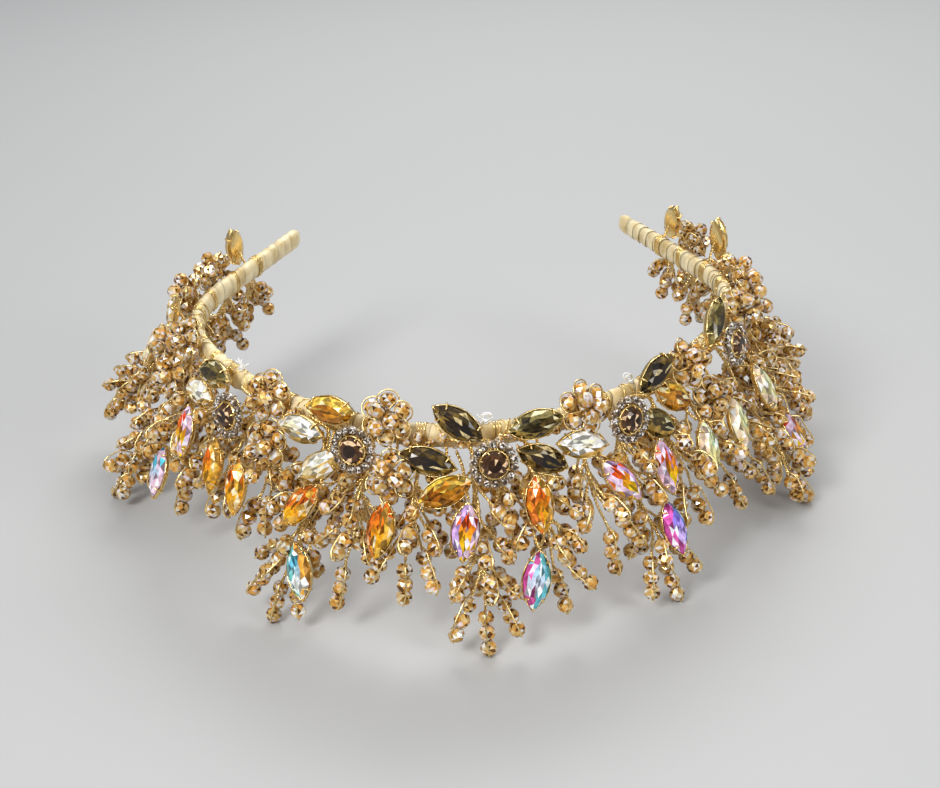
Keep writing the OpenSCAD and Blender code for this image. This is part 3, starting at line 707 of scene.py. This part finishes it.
# ---- flowers ----
def round_stone(piece, place, r, base, top, n, look, odds):
    """A brilliant of n sides, its facets lighter and darker at random as painted reflections; odds is the
    share of its facets painted with the highlight colour.
    """
    dark, mid, rim, painted_highlight = (np.array(c) for c in look)
    rings = [(0.35, base, 0), (1.0, base + (top - base) * 0.4, 0), (1.0, base + (top - base) * 0.52, 0),
             (0.82, base + (top - base) * 0.84, 0.5), (0.52, top, 0)]
    v = [(r * q * math.cos(2 * math.pi * (i + o) / n), r * q * math.sin(2 * math.pi * (i + o) / n), z)
         for q, z, o in rings for i in range(n)]
    v.append((0, 0, top))
    f = [list(range(n))[::-1]] + rings_faces(3, n) + between(n, 2 * n, 3 * n, True)
    f += [[3 * n + i, 4 * n + (i + 1) % n, 4 * n + i] for i in range(n)]
    f += [[3 * n + i, 3 * n + (i + 1) % n, 4 * n + (i + 1) % n] for i in range(n)]
    f += [[4 * n + i, 4 * n + (i + 1) % n, 5 * n] for i in range(n)]
    mid_z = np.array([np.mean([v[k][2] for k in q]) for q in f])[:, None]
    tones = np.where(mid_z > top - 1e-6, dark, np.where(mid_z > base + (top - base) * 0.6, mid, rim))
    # Painted reflections: facets made lighter and darker at random.
    tones = tones * rng.uniform(0.5, 1.35, (len(f), 1))
    # Painted highlights on a share of the facets.
    tones = np.where(rng.random((len(f), 1)) < odds, painted_highlight, tones)
    piece.add(place(v), f, np.clip(tones, 0, 1))


def revolved(piece, place, profile):
    """A ring turned about local Z from a profile of radii and heights."""
    n = 36
    v = [(r * math.cos(2 * math.pi * i / n), r * math.sin(2 * math.pi * i / n), z)
         for r, z in profile for i in range(n)]
    piece.add(place(v), rings_faces(len(profile), n, True), (1, 1, 1), True)


# Colours of a round stone: table, crown, side, and the colour of painted highlights
HALO_LOOK = ((0.08, 0.055, 0.035), (0.25, 0.18, 0.12), (0.05, 0.034, 0.022), (1.0, 0.97, 0.92))
CENTRE_LOOK = ((0.03, 0.012, 0.005), (0.085, 0.036, 0.014), (0.24, 0.12, 0.05), (0.92, 0.62, 0.36))


HALO_RING = 4.72


def flower(cup, halo, centre, f):
    """A gold cup on a stalk, a ring of small crystals with prongs between, and a round stone."""
    place = facing(*f, FLOWER_LEAN)
    revolved(cup, place, [(2.6, 0), (4.6, 0.05), (4.85, 0.3), (4.7, 0.6), (3.8, 0.7),
                          (3.55, 1.5), (3.45, 1.95), (3.2, 1.95), (3.15, 1.5), (1.0, 0.9)])
    stalk = np.array([place((0, 0, 0.4)), place((0, 0, -f[1] + WRAP_FRONT + 1.2))])
    rope(cup, stalk, 2, 0.3, 0.3, 2.4)
    for k in range(HALO_COUNT):
        q = (k + 0.5) * 360 / HALO_COUNT
        spot = place.turned(rot_z(q), (HALO_RING * cosd(q), HALO_RING * sind(q), 0.9))
        round_stone(halo, spot, 1.0, -0.3, 1.3, 8, HALO_LOOK, 0.22)
        a = q + 180 / HALO_COUNT
        for reach in (3.95, 5.4):
            prong = [(reach * cosd(a), reach * sind(a), 0.3), (reach * cosd(a), reach * sind(a), 1.5)]
            prong.insert(1, np.mean(prong, axis=0))
            tube(halo, place(prong), [0.2, 0.26, 0.2], 6, (0.42, 0.33, 0.22))
    round_stone(centre, place, CENTRE_STONE / 2, 1.0, 3.1, 12, CENTRE_LOOK, 0.12)
    for k in range(8):
        a = 22.5 + 45 * k
        path = [(r * cosd(a), r * sind(a), z) for r, z in ((3.5, 1.4), (3.45, 2.2), (2.85, 2.7))]
        tube(cup, place(curve(path, 3)), 0.2, 6)


# ---- materials ----
def material(name, **values):
    mat = bpy.data.materials.new(name)
    mat.use_nodes = True
    tree = mat.node_tree
    shader = tree.nodes["Principled BSDF"]
    for key, value in values.items():
        shader.inputs[key.replace("_", " ")].default_value = value
    return mat, tree, shader


def noise(tree, scale):
    n = tree.nodes.new("ShaderNodeTexNoise")
    n.inputs["Scale"].default_value = scale
    n.inputs["Detail"].default_value = 3.0
    tree.links.new(tree.nodes.new("ShaderNodeTexCoord").outputs["Object"], n.inputs["Vector"])
    return n.outputs["Fac"]


def ramp(tree, fac, low, high, a=0.35, b=0.65):
    """Maps a noise, which mostly lies between a and b, to the range from low to high."""
    m = tree.nodes.new("ShaderNodeMapRange")
    m.inputs["From Min"].default_value, m.inputs["From Max"].default_value = a, b
    m.inputs["To Min"].default_value, m.inputs["To Max"].default_value = low, high
    tree.links.new(fac, m.inputs["Value"])
    return m.outputs["Result"]


def roughened(tree, shader, scale, low, high):
    tree.links.new(ramp(tree, noise(tree, scale), low, high), shader.inputs["Roughness"])


def attribute(tree, name):
    node = tree.nodes.new("ShaderNodeAttribute")
    node.attribute_name = name
    return node.outputs


MIX_A, MIX_B, MIX_RESULT = 6, 7, 2


def facet_times(tree, shader, colour=None):
    """Base colour from each face's own colour times another; returns the other's socket."""
    mix = tree.nodes.new("ShaderNodeMix")
    mix.data_type, mix.blend_type = "RGBA", "MULTIPLY"
    mix.inputs["Factor"].default_value = 1
    if colour:
        mix.inputs[MIX_A].default_value = (*colour, 1)
    tree.links.new(attribute(tree, "facet")["Color"], mix.inputs[MIX_B])
    tree.links.new(mix.outputs[MIX_RESULT], shader.inputs["Base Color"])
    return mix.inputs[MIX_A]


def tinted(tree, shader, low, high, scale):
    """Base colour from each facet's own colour, lighter and darker in small clouds."""
    scaled = tree.nodes.new("ShaderNodeVectorMath")
    scaled.operation = "SCALE"
    tree.links.new(attribute(tree, "facet")["Color"], scaled.inputs[0])
    tree.links.new(ramp(tree, noise(tree, scale), low, high), scaled.inputs["Scale"])
    tree.links.new(scaled.outputs["Vector"], shader.inputs["Base Color"])


def bump(tree, shader, height, strength, distance):
    """Fine relief; distance is in metres."""
    b = tree.nodes.new("ShaderNodeBump")
    b.inputs["Strength"].default_value = strength
    b.inputs["Distance"].default_value = distance
    tree.links.new(height, b.inputs["Height"])
    tree.links.new(b.outputs["Normal"], shader.inputs["Normal"])


def crystal(name, metallic, rough, cloud):
    mat, tree, shader = material(name, Metallic=metallic, IOR=1.45)
    tinted(tree, shader, 1 - cloud, 1 + cloud * 0.6, 900)
    roughened(tree, shader, 1500, rough * 0.6, rough * 1.5)
    return mat


def gold(name, colour, rough):
    mat, tree, shader = material(name, Metallic=1.0)
    facet_times(tree, shader, colour)
    roughened(tree, shader, 700, rough * 0.7, rough * 1.4)
    bump(tree, shader, noise(tree, 2600), 0.25, 0.00008)
    return mat


def plain(name, colour, scale, low, high, **values):
    """One colour, with a roughness that wanders from low to high."""
    mat, tree, shader = material(name, **values)
    shader.inputs["Base Color"].default_value = (*colour, 1)
    roughened(tree, shader, scale, low, high)
    return mat


GOLD_WIRE = gold("gold_wire", (0.95, 0.75, 0.36), 0.26)
GOLD_SETTING = gold("gold_setting", (0.92, 0.68, 0.28), 0.22)
BEAD_CRYSTAL = crystal("champagne_bead", 0.2, 0.08, 0.3)
HALO_CRYSTAL = crystal("halo_crystal", 0.2, 0.06, 0.3)
TOPAZ = crystal("smoky_topaz", 0.1, 0.05, 0.4)
STONE_MATS = {
    slot: crystal(slot, metallic, 0.05, cloud)
    for slot, metallic, cloud in (
        ("smoky_crystal", 0.05, 0.6), ("olive_crystal", 0.1, 0.5),
        ("champagne_crystal", 0.1, 0.2), ("amber_crystal", 0.15, 0.45),
        ("violet_aurora_crystal", 0.12, 0.3), ("aqua_aurora_crystal", 0.12, 0.3),
        ("pale_crystal", 0.1, 0.25),
    )
}


def satin():
    """Clouds of a darker and a lighter champagne, with fine threads across the ribbon's lay."""
    mat, tree, shader = material("satin_ribbon", Sheen_Weight=0.35, Sheen_Roughness=0.35)
    clouds = tree.nodes.new("ShaderNodeMix")
    clouds.data_type = "RGBA"
    clouds.inputs[MIX_A].default_value = (0.62, 0.45, 0.18, 1)
    clouds.inputs[MIX_B].default_value = (0.92, 0.78, 0.48, 1)
    tree.links.new(ramp(tree, noise(tree, 260), 0, 1, 0.3, 0.62), clouds.inputs["Factor"])
    tree.links.new(clouds.outputs[MIX_RESULT], facet_times(tree, shader))
    roughened(tree, shader, 500, 0.34, 0.5)
    wave = tree.nodes.new("ShaderNodeTexWave")
    wave.inputs["Scale"].default_value = 1.0
    wave.inputs["Distortion"].default_value = 0.8
    tree.links.new(attribute(tree, "lay")["Vector"], wave.inputs["Vector"])
    bump(tree, shader, wave.outputs["Fac"], 0.5, 0.00006)
    return mat


SATIN = satin()
NYLON = plain("nylon_thread", (0.92, 0.92, 0.9), 900, 0.1, 0.35, IOR=1.5)
STEEL = plain("spring_steel", (0.55, 0.55, 0.56), 400, 0.25, 0.45, Metallic=1.0)
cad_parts["band_core"].data.materials.clear()
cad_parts["band_core"].data.materials.append(STEEL)


# ---- the band ----
RIBBON_W, RIBBON_PITCH, TURN_STEPS, LAP_RISE = 5.6, 3.7, 30, 0.36
# Threads of the satin: across one turn, and across the ribbon's width
THREADS_ROUND, THREADS_ACROSS = 12, 16


def section(q):
    """Outward and upward shares of a point q radians round the band's soft-cornered section."""
    c, d = math.cos(q), math.sin(q)
    return math.copysign(abs(c) ** 0.82, c), math.copysign(abs(d) ** 0.9, d)


def oval_at(s, q, grow):
    """A point on the wrapped section at a station, q radians round it, so far outside it."""
    out, up = section(q)
    return at(s, out * (WRAP_T / 2 + grow), BAND_Z + up * (WRAP_D / 2 + grow))


def lay_ribbon(obj, lays):
    """Gives each point its place in the weave."""
    attr = obj.data.attributes.new("lay", "FLOAT_VECTOR", "POINT")
    attr.data.foreach_set("vector", np.array(lays, float).ravel())


def ribbon():
    """Satin ribbon wound edge over edge from one end of the strip to the other."""
    piece, lays = Piece(), []
    across = [0, 0.02, 0.2, 0.4, 0.6, 0.8, 0.98, 1.0]
    reach = S_END - 1.6
    turns = round((2 * reach - RIBBON_W) / RIBBON_PITCH)
    pitch = (2 * reach - RIBBON_W) / turns
    rows, pts = turns * TURN_STEPS + 1, []
    for j in range(rows):
        q = 2 * math.pi * j / TURN_STEPS
        s0 = -reach + pitch * j / TURN_STEPS
        wander = 0.22 * math.sin(0.37 * q) + 0.12 * math.sin(3 * q + 0.6 * math.sin(0.21 * q))
        for v in across:
            s = s0 + v * RIBBON_W + wander
            crease = 0.035 * math.sin(5 * q + 9 * v) * math.sin(0.9 * q)
            hem = -0.05 if v in (0, 1.0) else 0
            pts.append(oval_at(max(-reach, min(reach, s)), q, LAP_RISE * (1 - v) - 0.03 + crease + hem))
            lays.append((j / TURN_STEPS * THREADS_ROUND, v * THREADS_ACROSS, 0))
        for v in (0.8, 0.2):
            s = max(-reach, min(reach, s0 + v * RIBBON_W + wander))
            pts.append(oval_at(s, q, LAP_RISE * (1 - v) - 0.15))
            lays.append((j / TURN_STEPS * THREADS_ROUND, v * THREADS_ACROSS, 0))
    cols = len(across) + 2
    # Painted shade and highlight across each turn: lighter at the edge that laps over the turn before, darker
    # where the next turn covers it and on the underside.
    shade = [1.1, 1.06, 1.0, 0.95, 0.7, 0.6, 0.6, 0.6, 0.6, 0.6]
    tones = np.array([[k] * 3 for k in shade] * (rows - 1) + [[1, 1, 1]] * 2)
    piece.add(pts, rings_faces(rows, cols, True), tones, True)
    obj = piece.build("satin_ribbon_wrap", SATIN, ["band_wrap"], "satin_ribbon")
    lay_ribbon(obj, lays)


def ribbon_ends():
    """The last turns, gathered and folded over each end."""
    piece, lays, n = Piece(), [], 40
    for side in (-1, 1):
        pts = []
        for back, scale in ((5.0, 1.04), (3.6, 1.1), (2.2, 1.08), (1.2, 0.98),
                            (0.55, 0.8), (0.15, 0.5), (0.02, 0.15)):
            for i in range(n):
                q = 2 * math.pi * i / n
                pleat = 1 + 0.05 * math.sin(6 * q + back) * (1.2 - min(back, 2.2) / 2.2)
                out, up = section(q)
                s = side * (S_END - back + (0.25 * math.sin(q + 1) if back > 3 else 0))
                pts.append(at(s, out * WRAP_T / 2 * scale * pleat,
                              BAND_Z + up * WRAP_D / 2 * scale * pleat))
                lays.append((i / n * THREADS_ROUND, back * 3, 0))
        faces = rings_faces(7, n, True)
        piece.add(pts, faces if side > 0 else [f[::-1] for f in faces], (1, 1, 1), True)
    lay_ribbon(piece.build("satin_ribbon_ends", SATIN, ["band_tips"], "satin_ribbon"), lays)


def binding():
    """Turns of fine wire that hold each spray and two of the flowers to the band, and two long wires wound
    along the band.
    """
    piece = Piece()
    for s in [r[0] for r in SPRAYS] + [FLOWERS[2][0], FLOWERS[4][0]]:
        turns, skew = 3.5, rng.uniform(-0.25, 0.25)
        start = rng.uniform(0, 6)
        path = []
        for q in np.arange(0, turns * 2 * math.pi, 2 * math.pi / 26):
            along_band = s - 1.2 + 2.4 * q / (turns * 2 * math.pi) + skew * math.sin(q)
            path.append(oval_at(along_band, q + start, 0.36))
        tube(piece, path, WIRE_R * 0.9, 6, wire_tone())
    for lay, begin, stop in ((6.3, -112, 118), (-8.1, -118, 110)):
        path = []
        for q in np.arange(0, (stop - begin) / abs(lay) * 2 * math.pi, 2 * math.pi / 22):
            s = begin + abs(lay) * (q + 0.7 * math.sin(0.43 * q)) / (2 * math.pi)
            path.append(oval_at(s, math.copysign(q, lay), 0.38 + 0.06 * math.sin(2.7 * q)))
        tube(piece, path, 0.15, 5, (1, 0.96, 0.85))
    piece.build("binding_turns", GOLD_WIRE, ["binding_wire"], "gold_wire")


def knots():
    """Knots and cut ends of clear nylon thread on top of the band."""
    piece = Piece()
    for s in KNOTS:
        place = Place(at(s, 0, WRAP_TOP + 0.35), np.array([along(s), -outward(s), UP]).T)
        for k in range(3):
            lean, size = rng.uniform(-0.6, 0.6), rng.uniform(0.7, 1.0)
            loop = [(size * (1.0 + 0.1 * k) * math.sin(q) + lean * (1 - math.cos(q)),
                     0.5 * math.sin(q * 1.5 + k) + 0.3 * k,
                     size * 1.35 * (1 - math.cos(q))) for q in np.linspace(0, 2 * math.pi, 22)]
            tube(piece, place(loop), 0.17, 6)
        for k in range(3):
            a = rng.uniform(0, 360)
            tail = curve([(0, 0, 0), (0.8 * cosd(a), 0.8 * sind(a), 0.9),
                          (2.0 * cosd(a), 2.0 * sind(a), rng.uniform(0.6, 2.4))], 5)
            tube(piece, place(tail), 0.15, 6)
        knot = [(0.45 * math.cos(3 * q) * (1 + 0.4 * math.cos(2 * q)),
                 0.45 * math.sin(3 * q) * (1 + 0.4 * math.cos(2 * q)),
                 0.3 + 0.3 * math.sin(2 * q)) for q in np.linspace(0, 2 * math.pi, 40)]
        tube(piece, place(knot), 0.18, 6)
    piece.build("nylon_knots", NYLON, ["thread_knots"], "nylon_thread")


# ---- sprays, clusters and ties ----
def spray_pieces(name, first, last):
    """The sprays of one stretch: stems, twigs, beads and the wire that returns over each twig."""
    wires, beads = Piece(), Piece()
    for spray, row in zip(sprays[first:last + 1], SPRAYS[first:last + 1]):
        stem_end = spray.length - END_TWIG[spray.kind]
        s = row[0]
        lash = [at(s - 6, WRAP_FRONT + 0.5, BAND_Z + 0.4), at(s - 2.5, WRAP_FRONT + 0.75, BAND_Z - 0.5),
                at(s - 0.6, WRAP_FRONT + 0.9, BAND_Z - 1.6)]
        stem = spray.place([(0, 0, z) for z in np.arange(0.8, stem_end + 0.5, 1.5)])
        rope(wires, curve(lash + list(sway(stem)), 4), 3, 0.29, 0.24, 3.4, rng.uniform(0, 6))
        for t in spray.twigs:
            place = spray.twig_place(t)
            roll = rng.uniform(-50, 50)
            low = t[3] - (t[4] - 1) * PITCH - BEAD_END - 0.3
            back = min(2.5, t[0])
            path = [spray.place((0.25 * cosd(roll), 0.25 * sind(roll), t[0] - back)),
                    spray.place((0.1, 0.1, t[0] - back * 0.35)),
                    place((0, 0, low * 0.3)), place((0, 0, low * 0.65)), place((0, 0, low))]
            rope(wires, sway(curve(path, 5)), 2, 0.21, 0.2, 1.9, rng.uniform(0, 6))
            top = t[3] + BEAD_R
            r = BEAD_R + 0.2
            loop = [(0, 0, low - 0.6), (0, 0, low + 1), (0, 0, top - 0.6), (0, 0.25, top - 0.22),
                    (0, 0.9, top - 0.2), (0, r * 0.8, top - 1.2), (0, r + 0.05, t[3] - 0.4),
                    (0, r + 0.1, low + 1.8), (0, r * 0.66, low + 0.2), (0, 0.35, low - 0.9),
                    (0, 0.2, low - 1.6)]
            loop = curve(np.array(loop) @ rot_z(roll).T, 4)
            tube(wires, sway(place(loop)), WIRE_R, 6, wire_tone())
            for k in range(t[4]):
                mid = place((0, 0, t[3] - k * PITCH))
                tilt = rng.uniform(-7, 7) * min(max((mid[2] - 2.5) / 4, 0), 1)
                bead(beads, Place(sway(mid), place.axes @ rot_x(tilt)), BEAD_R * rng.uniform(0.97, 1.0))
    wires.build("twig_wires_" + name, GOLD_WIRE, ["spray_wires_" + name], "gold_wire")
    beads.build("crystal_beads_" + name, BEAD_CRYSTAL, ["spray_beads_" + name], "champagne_bead")


def cluster_pieces(name, rows):
    """Ten beads each: one, six round it with a loop of wire each, and three in front."""
    wires, beads = Piece(), Piece()
    p = CLUSTER_RING
    for r in rows:
        place = facing(*r)
        bead(beads, place.turned(rot_y(90)))
        for k in range(6):
            a = k * 60 + 30
            lift = rng.uniform(-0.5, 0.5)
            turn = rot_z(a + rng.uniform(-12, 12)) @ rot_y(90)
            bead(beads, place.turned(turn, (p * cosd(a), p * sind(a), lift)))
            loop = []
            for q in np.linspace(-115, 115, 17):
                w = a + q
                loop.append((p * cosd(a) + 2.42 * cosd(w), p * sind(a) + 2.42 * sind(w),
                             lift + 0.9 * sind(q * 0.8)))
            loop[0] = (0.9 * cosd(a - 60), 0.9 * sind(a - 60), -1.6)
            loop[-1] = (0.9 * cosd(a + 60), 0.9 * sind(a + 60), 1.8)
            tube(wires, place(curve(loop, 2)), WIRE_R * 0.86, 6, wire_tone())
        for k in range(3):
            a = k * 120
            spot = (p / math.sqrt(3) * cosd(a), p / math.sqrt(3) * sind(a), p * 0.82)
            bead(beads, place.turned(rot_z(a) @ rot_x(90), spot))
        near = at(r[0], WRAP_FRONT + 0.2, BAND_Z)
        far_end = at(r[0], r[1] - BEAD_R - 0.3, r[2] + (-1.2 if r[2] > BAND_Z else 1.2))
        rope(wires, [near, (near + far_end) / 2 + 0.3 * along(r[0]), far_end], 2, 0.22, 0.22, 1.8)
    wires.build("cluster_loops_" + name, GOLD_WIRE, ["cluster_wires_" + name], "gold_wire")
    beads.build("cluster_crystals_" + name, BEAD_CRYSTAL, ["cluster_beads_" + name], "champagne_bead")


def stone_pieces():
    """Marquise stones, one piece for each colour, and their settings."""
    groups = {
        "petals_smoky": (SMOKY, "smoky", "smoky_crystal"),
        "petals_olive": (OLIVE, "olive", "olive_crystal"),
        "petals_champagne": (CHAMPAGNE, "champagne", "champagne_crystal"),
        "petals_amber": (AMBER, "amber", "amber_crystal"),
        "drops_amber": (DROPS_AMBER, "drop_amber", "amber_crystal"),
        "drops_violet": (DROPS_VIOLET, "violet", "violet_aurora_crystal"),
        "drops_aqua": (DROPS_AQUA, "aqua", "aqua_aurora_crystal"),
        "drops_pale": (DROPS_PALE, "pale", "pale_crystal"),
    }
    for node, (rows, look, slot) in groups.items():
        piece = Piece()
        for k, r in enumerate(rows):
            stone(piece, r, OWN_LOOK.get(node, {}).get(k, look))
        piece.build("cut_" + node, STONE_MATS[slot], [node], slot)
    for node, rows in (("petal_settings", PETALS), ("drop_settings", DROPS)):
        piece = Piece()
        for r in rows:
            setting(piece, r)
        piece.build("claw_" + node, GOLD_SETTING, [node], "gold_setting")


def ties_and_hangers():
    """Twisted wires that tie the petals on the band and hang the drops from it."""
    ties = Piece()
    for r in PETALS:
        dz = r[2] - BAND_Z
        a = at(r[0], WRAP_FRONT + 0.7, BAND_Z + max(min(dz, 1.6), -1.6))
        b = at(r[0], r[1] - 0.6 - sind(r[4]), r[2] + (-0.8 if dz > 0 else 0.8))
        rope(ties, [a, (a + b) / 2 + 0.2 * along(r[0]), b], 2, 0.22, 0.22, 1.8)
    ties.build("petal_ties", GOLD_WIRE, ["petal_wires"], "gold_wire")
    hangers = Piece()
    for r in DROPS:
        a = r[3] if r[3] > 0 else r[3] + 180
        up = STONE_L / 2 + 0.2
        top = at(r[0], r[1] - up * sind(a) * sind(r[4]) - 0.7, r[2] + up * sind(a) * cosd(r[4]))
        top = top + up * cosd(a) * along(r[0])
        near = at(r[0] - 1.5, WRAP_FRONT + 0.9, BAND_Z - 2.6)
        path = [near, near * 0.65 + top * 0.35 + 0.5 * along(r[0]), near * 0.3 + top * 0.7, top]
        rope(hangers, curve(path, 5), 2, 0.23, 0.22, 2.0)
    hangers.build("drop_hangers", GOLD_WIRE, ["drop_wires"], "gold_wire")


def flower_pieces():
    cup, halo, centre = Piece(), Piece(), Piece()
    for f in FLOWERS:
        flower(cup, halo, centre, f)
    cup.build("flower_mounts", GOLD_SETTING, ["flower_cups"], "gold_setting")
    halo.build("flower_halos", HALO_CRYSTAL, ["flower_halo_crystals"], "halo_crystal")
    centre.build("flower_topazes", TOPAZ, ["flower_centre_stones"], "smoky_topaz")


WOUND_BEAD_R, WOUND_PITCH = 1.2, 2.6


def wound():
    """Rows of small beads wound on the band between the flowers."""
    piece = Piece()
    for w in WOUND:
        for k in range(w[1]):
            place = facing(w[0] + k * WOUND_PITCH, WRAP_FRONT + 1.7, BAND_Z - 0.4 + (k % 2) * 1.6, 0)
            bead(piece, place.turned(rot_y(90)), WOUND_BEAD_R)
    piece.build("wound_crystals", BEAD_CRYSTAL, ["wound_beads"], "champagne_bead")


ribbon()
ribbon_ends()
binding()
knots()
flower_pieces()
stone_pieces()
ties_and_hangers()
cluster_pieces("top", CLUSTERS_TOP)
cluster_pieces("low", CLUSTERS_LOW)
wound()
for region, (first, last) in REGIONS.items():
    spray_pieces(region, first, last)

# ---- stage, lights and camera, in metres and watts ----
FLOOR_REACH = 4
FLOOR_COLOUR = (0.44, 0.44, 0.435, 1)
SKY_COLOUR, SKY_STRENGTH = (0.9, 0.93, 1.0, 1), 0.28
MIDDLE = (0, 0, 0.03)
CAMERA_PLACE, CAMERA_TURN = (0.00536, -0.35066, 0.21455), (62.12, 2.35, -1.06)
LENS, SENSOR = 57.45, 36

floor_mesh = bpy.data.meshes.new("floor")
corners = [(x * FLOOR_REACH, y * FLOOR_REACH, 0) for x, y in ((-1, -1), (1, -1), (1, 1), (-1, 1))]
floor_mesh.from_pydata(corners, [], [(0, 1, 2, 3)])
floor = bpy.data.objects.new("floor", floor_mesh)
bpy.context.scene.collection.objects.link(floor)
floor_mat, _, floor_shader = material("pale_floor", Roughness=0.55)
floor_shader.inputs["Base Color"].default_value = FLOOR_COLOUR
floor_mesh.materials.append(floor_mat)

world = bpy.data.worlds.new("studio")
world.use_nodes = True
world.node_tree.nodes["Background"].inputs["Color"].default_value = SKY_COLOUR
world.node_tree.nodes["Background"].inputs["Strength"].default_value = SKY_STRENGTH
bpy.context.scene.world = world


def softbox(name, place, target, size, watts):
    """A rectangular light that faces its target."""
    data = bpy.data.lights.new(name, "AREA")
    data.shape, data.energy = "RECTANGLE", watts
    data.size, data.size_y = size
    obj = bpy.data.objects.new(name, data)
    obj.location = place
    z = -unit(np.array(target) - np.array(place))
    x = unit(np.cross(UP, z))
    obj.rotation_euler = Matrix(np.array([x, np.cross(z, x), z]).T.tolist()).to_euler()
    bpy.context.scene.collection.objects.link(obj)


softbox("key", (-0.38, -0.5, 0.6), MIDDLE, (0.26, 0.26), 4.6)
softbox("fill", (0.55, -0.45, 0.4), MIDDLE, (0.3, 0.25), 1.9)
softbox("rim", (0.1, 0.6, 0.6), MIDDLE, (0.6, 0.25), 3.6)
softbox("overhead", (0, 0.3, 3.2), (0, 0.31, 0), (6, 6), 60)

bpy.context.scene.view_settings.view_transform = "Standard"

camera_data = bpy.data.cameras.new("camera")
camera_data.sensor_width = SENSOR
camera_data.lens = LENS
camera_data.clip_start = 0.01
camera = bpy.data.objects.new("camera", camera_data)
camera.location = CAMERA_PLACE
camera.rotation_euler = [math.radians(a) for a in CAMERA_TURN]
bpy.context.scene.collection.objects.link(camera)
bpy.context.scene.camera = camera
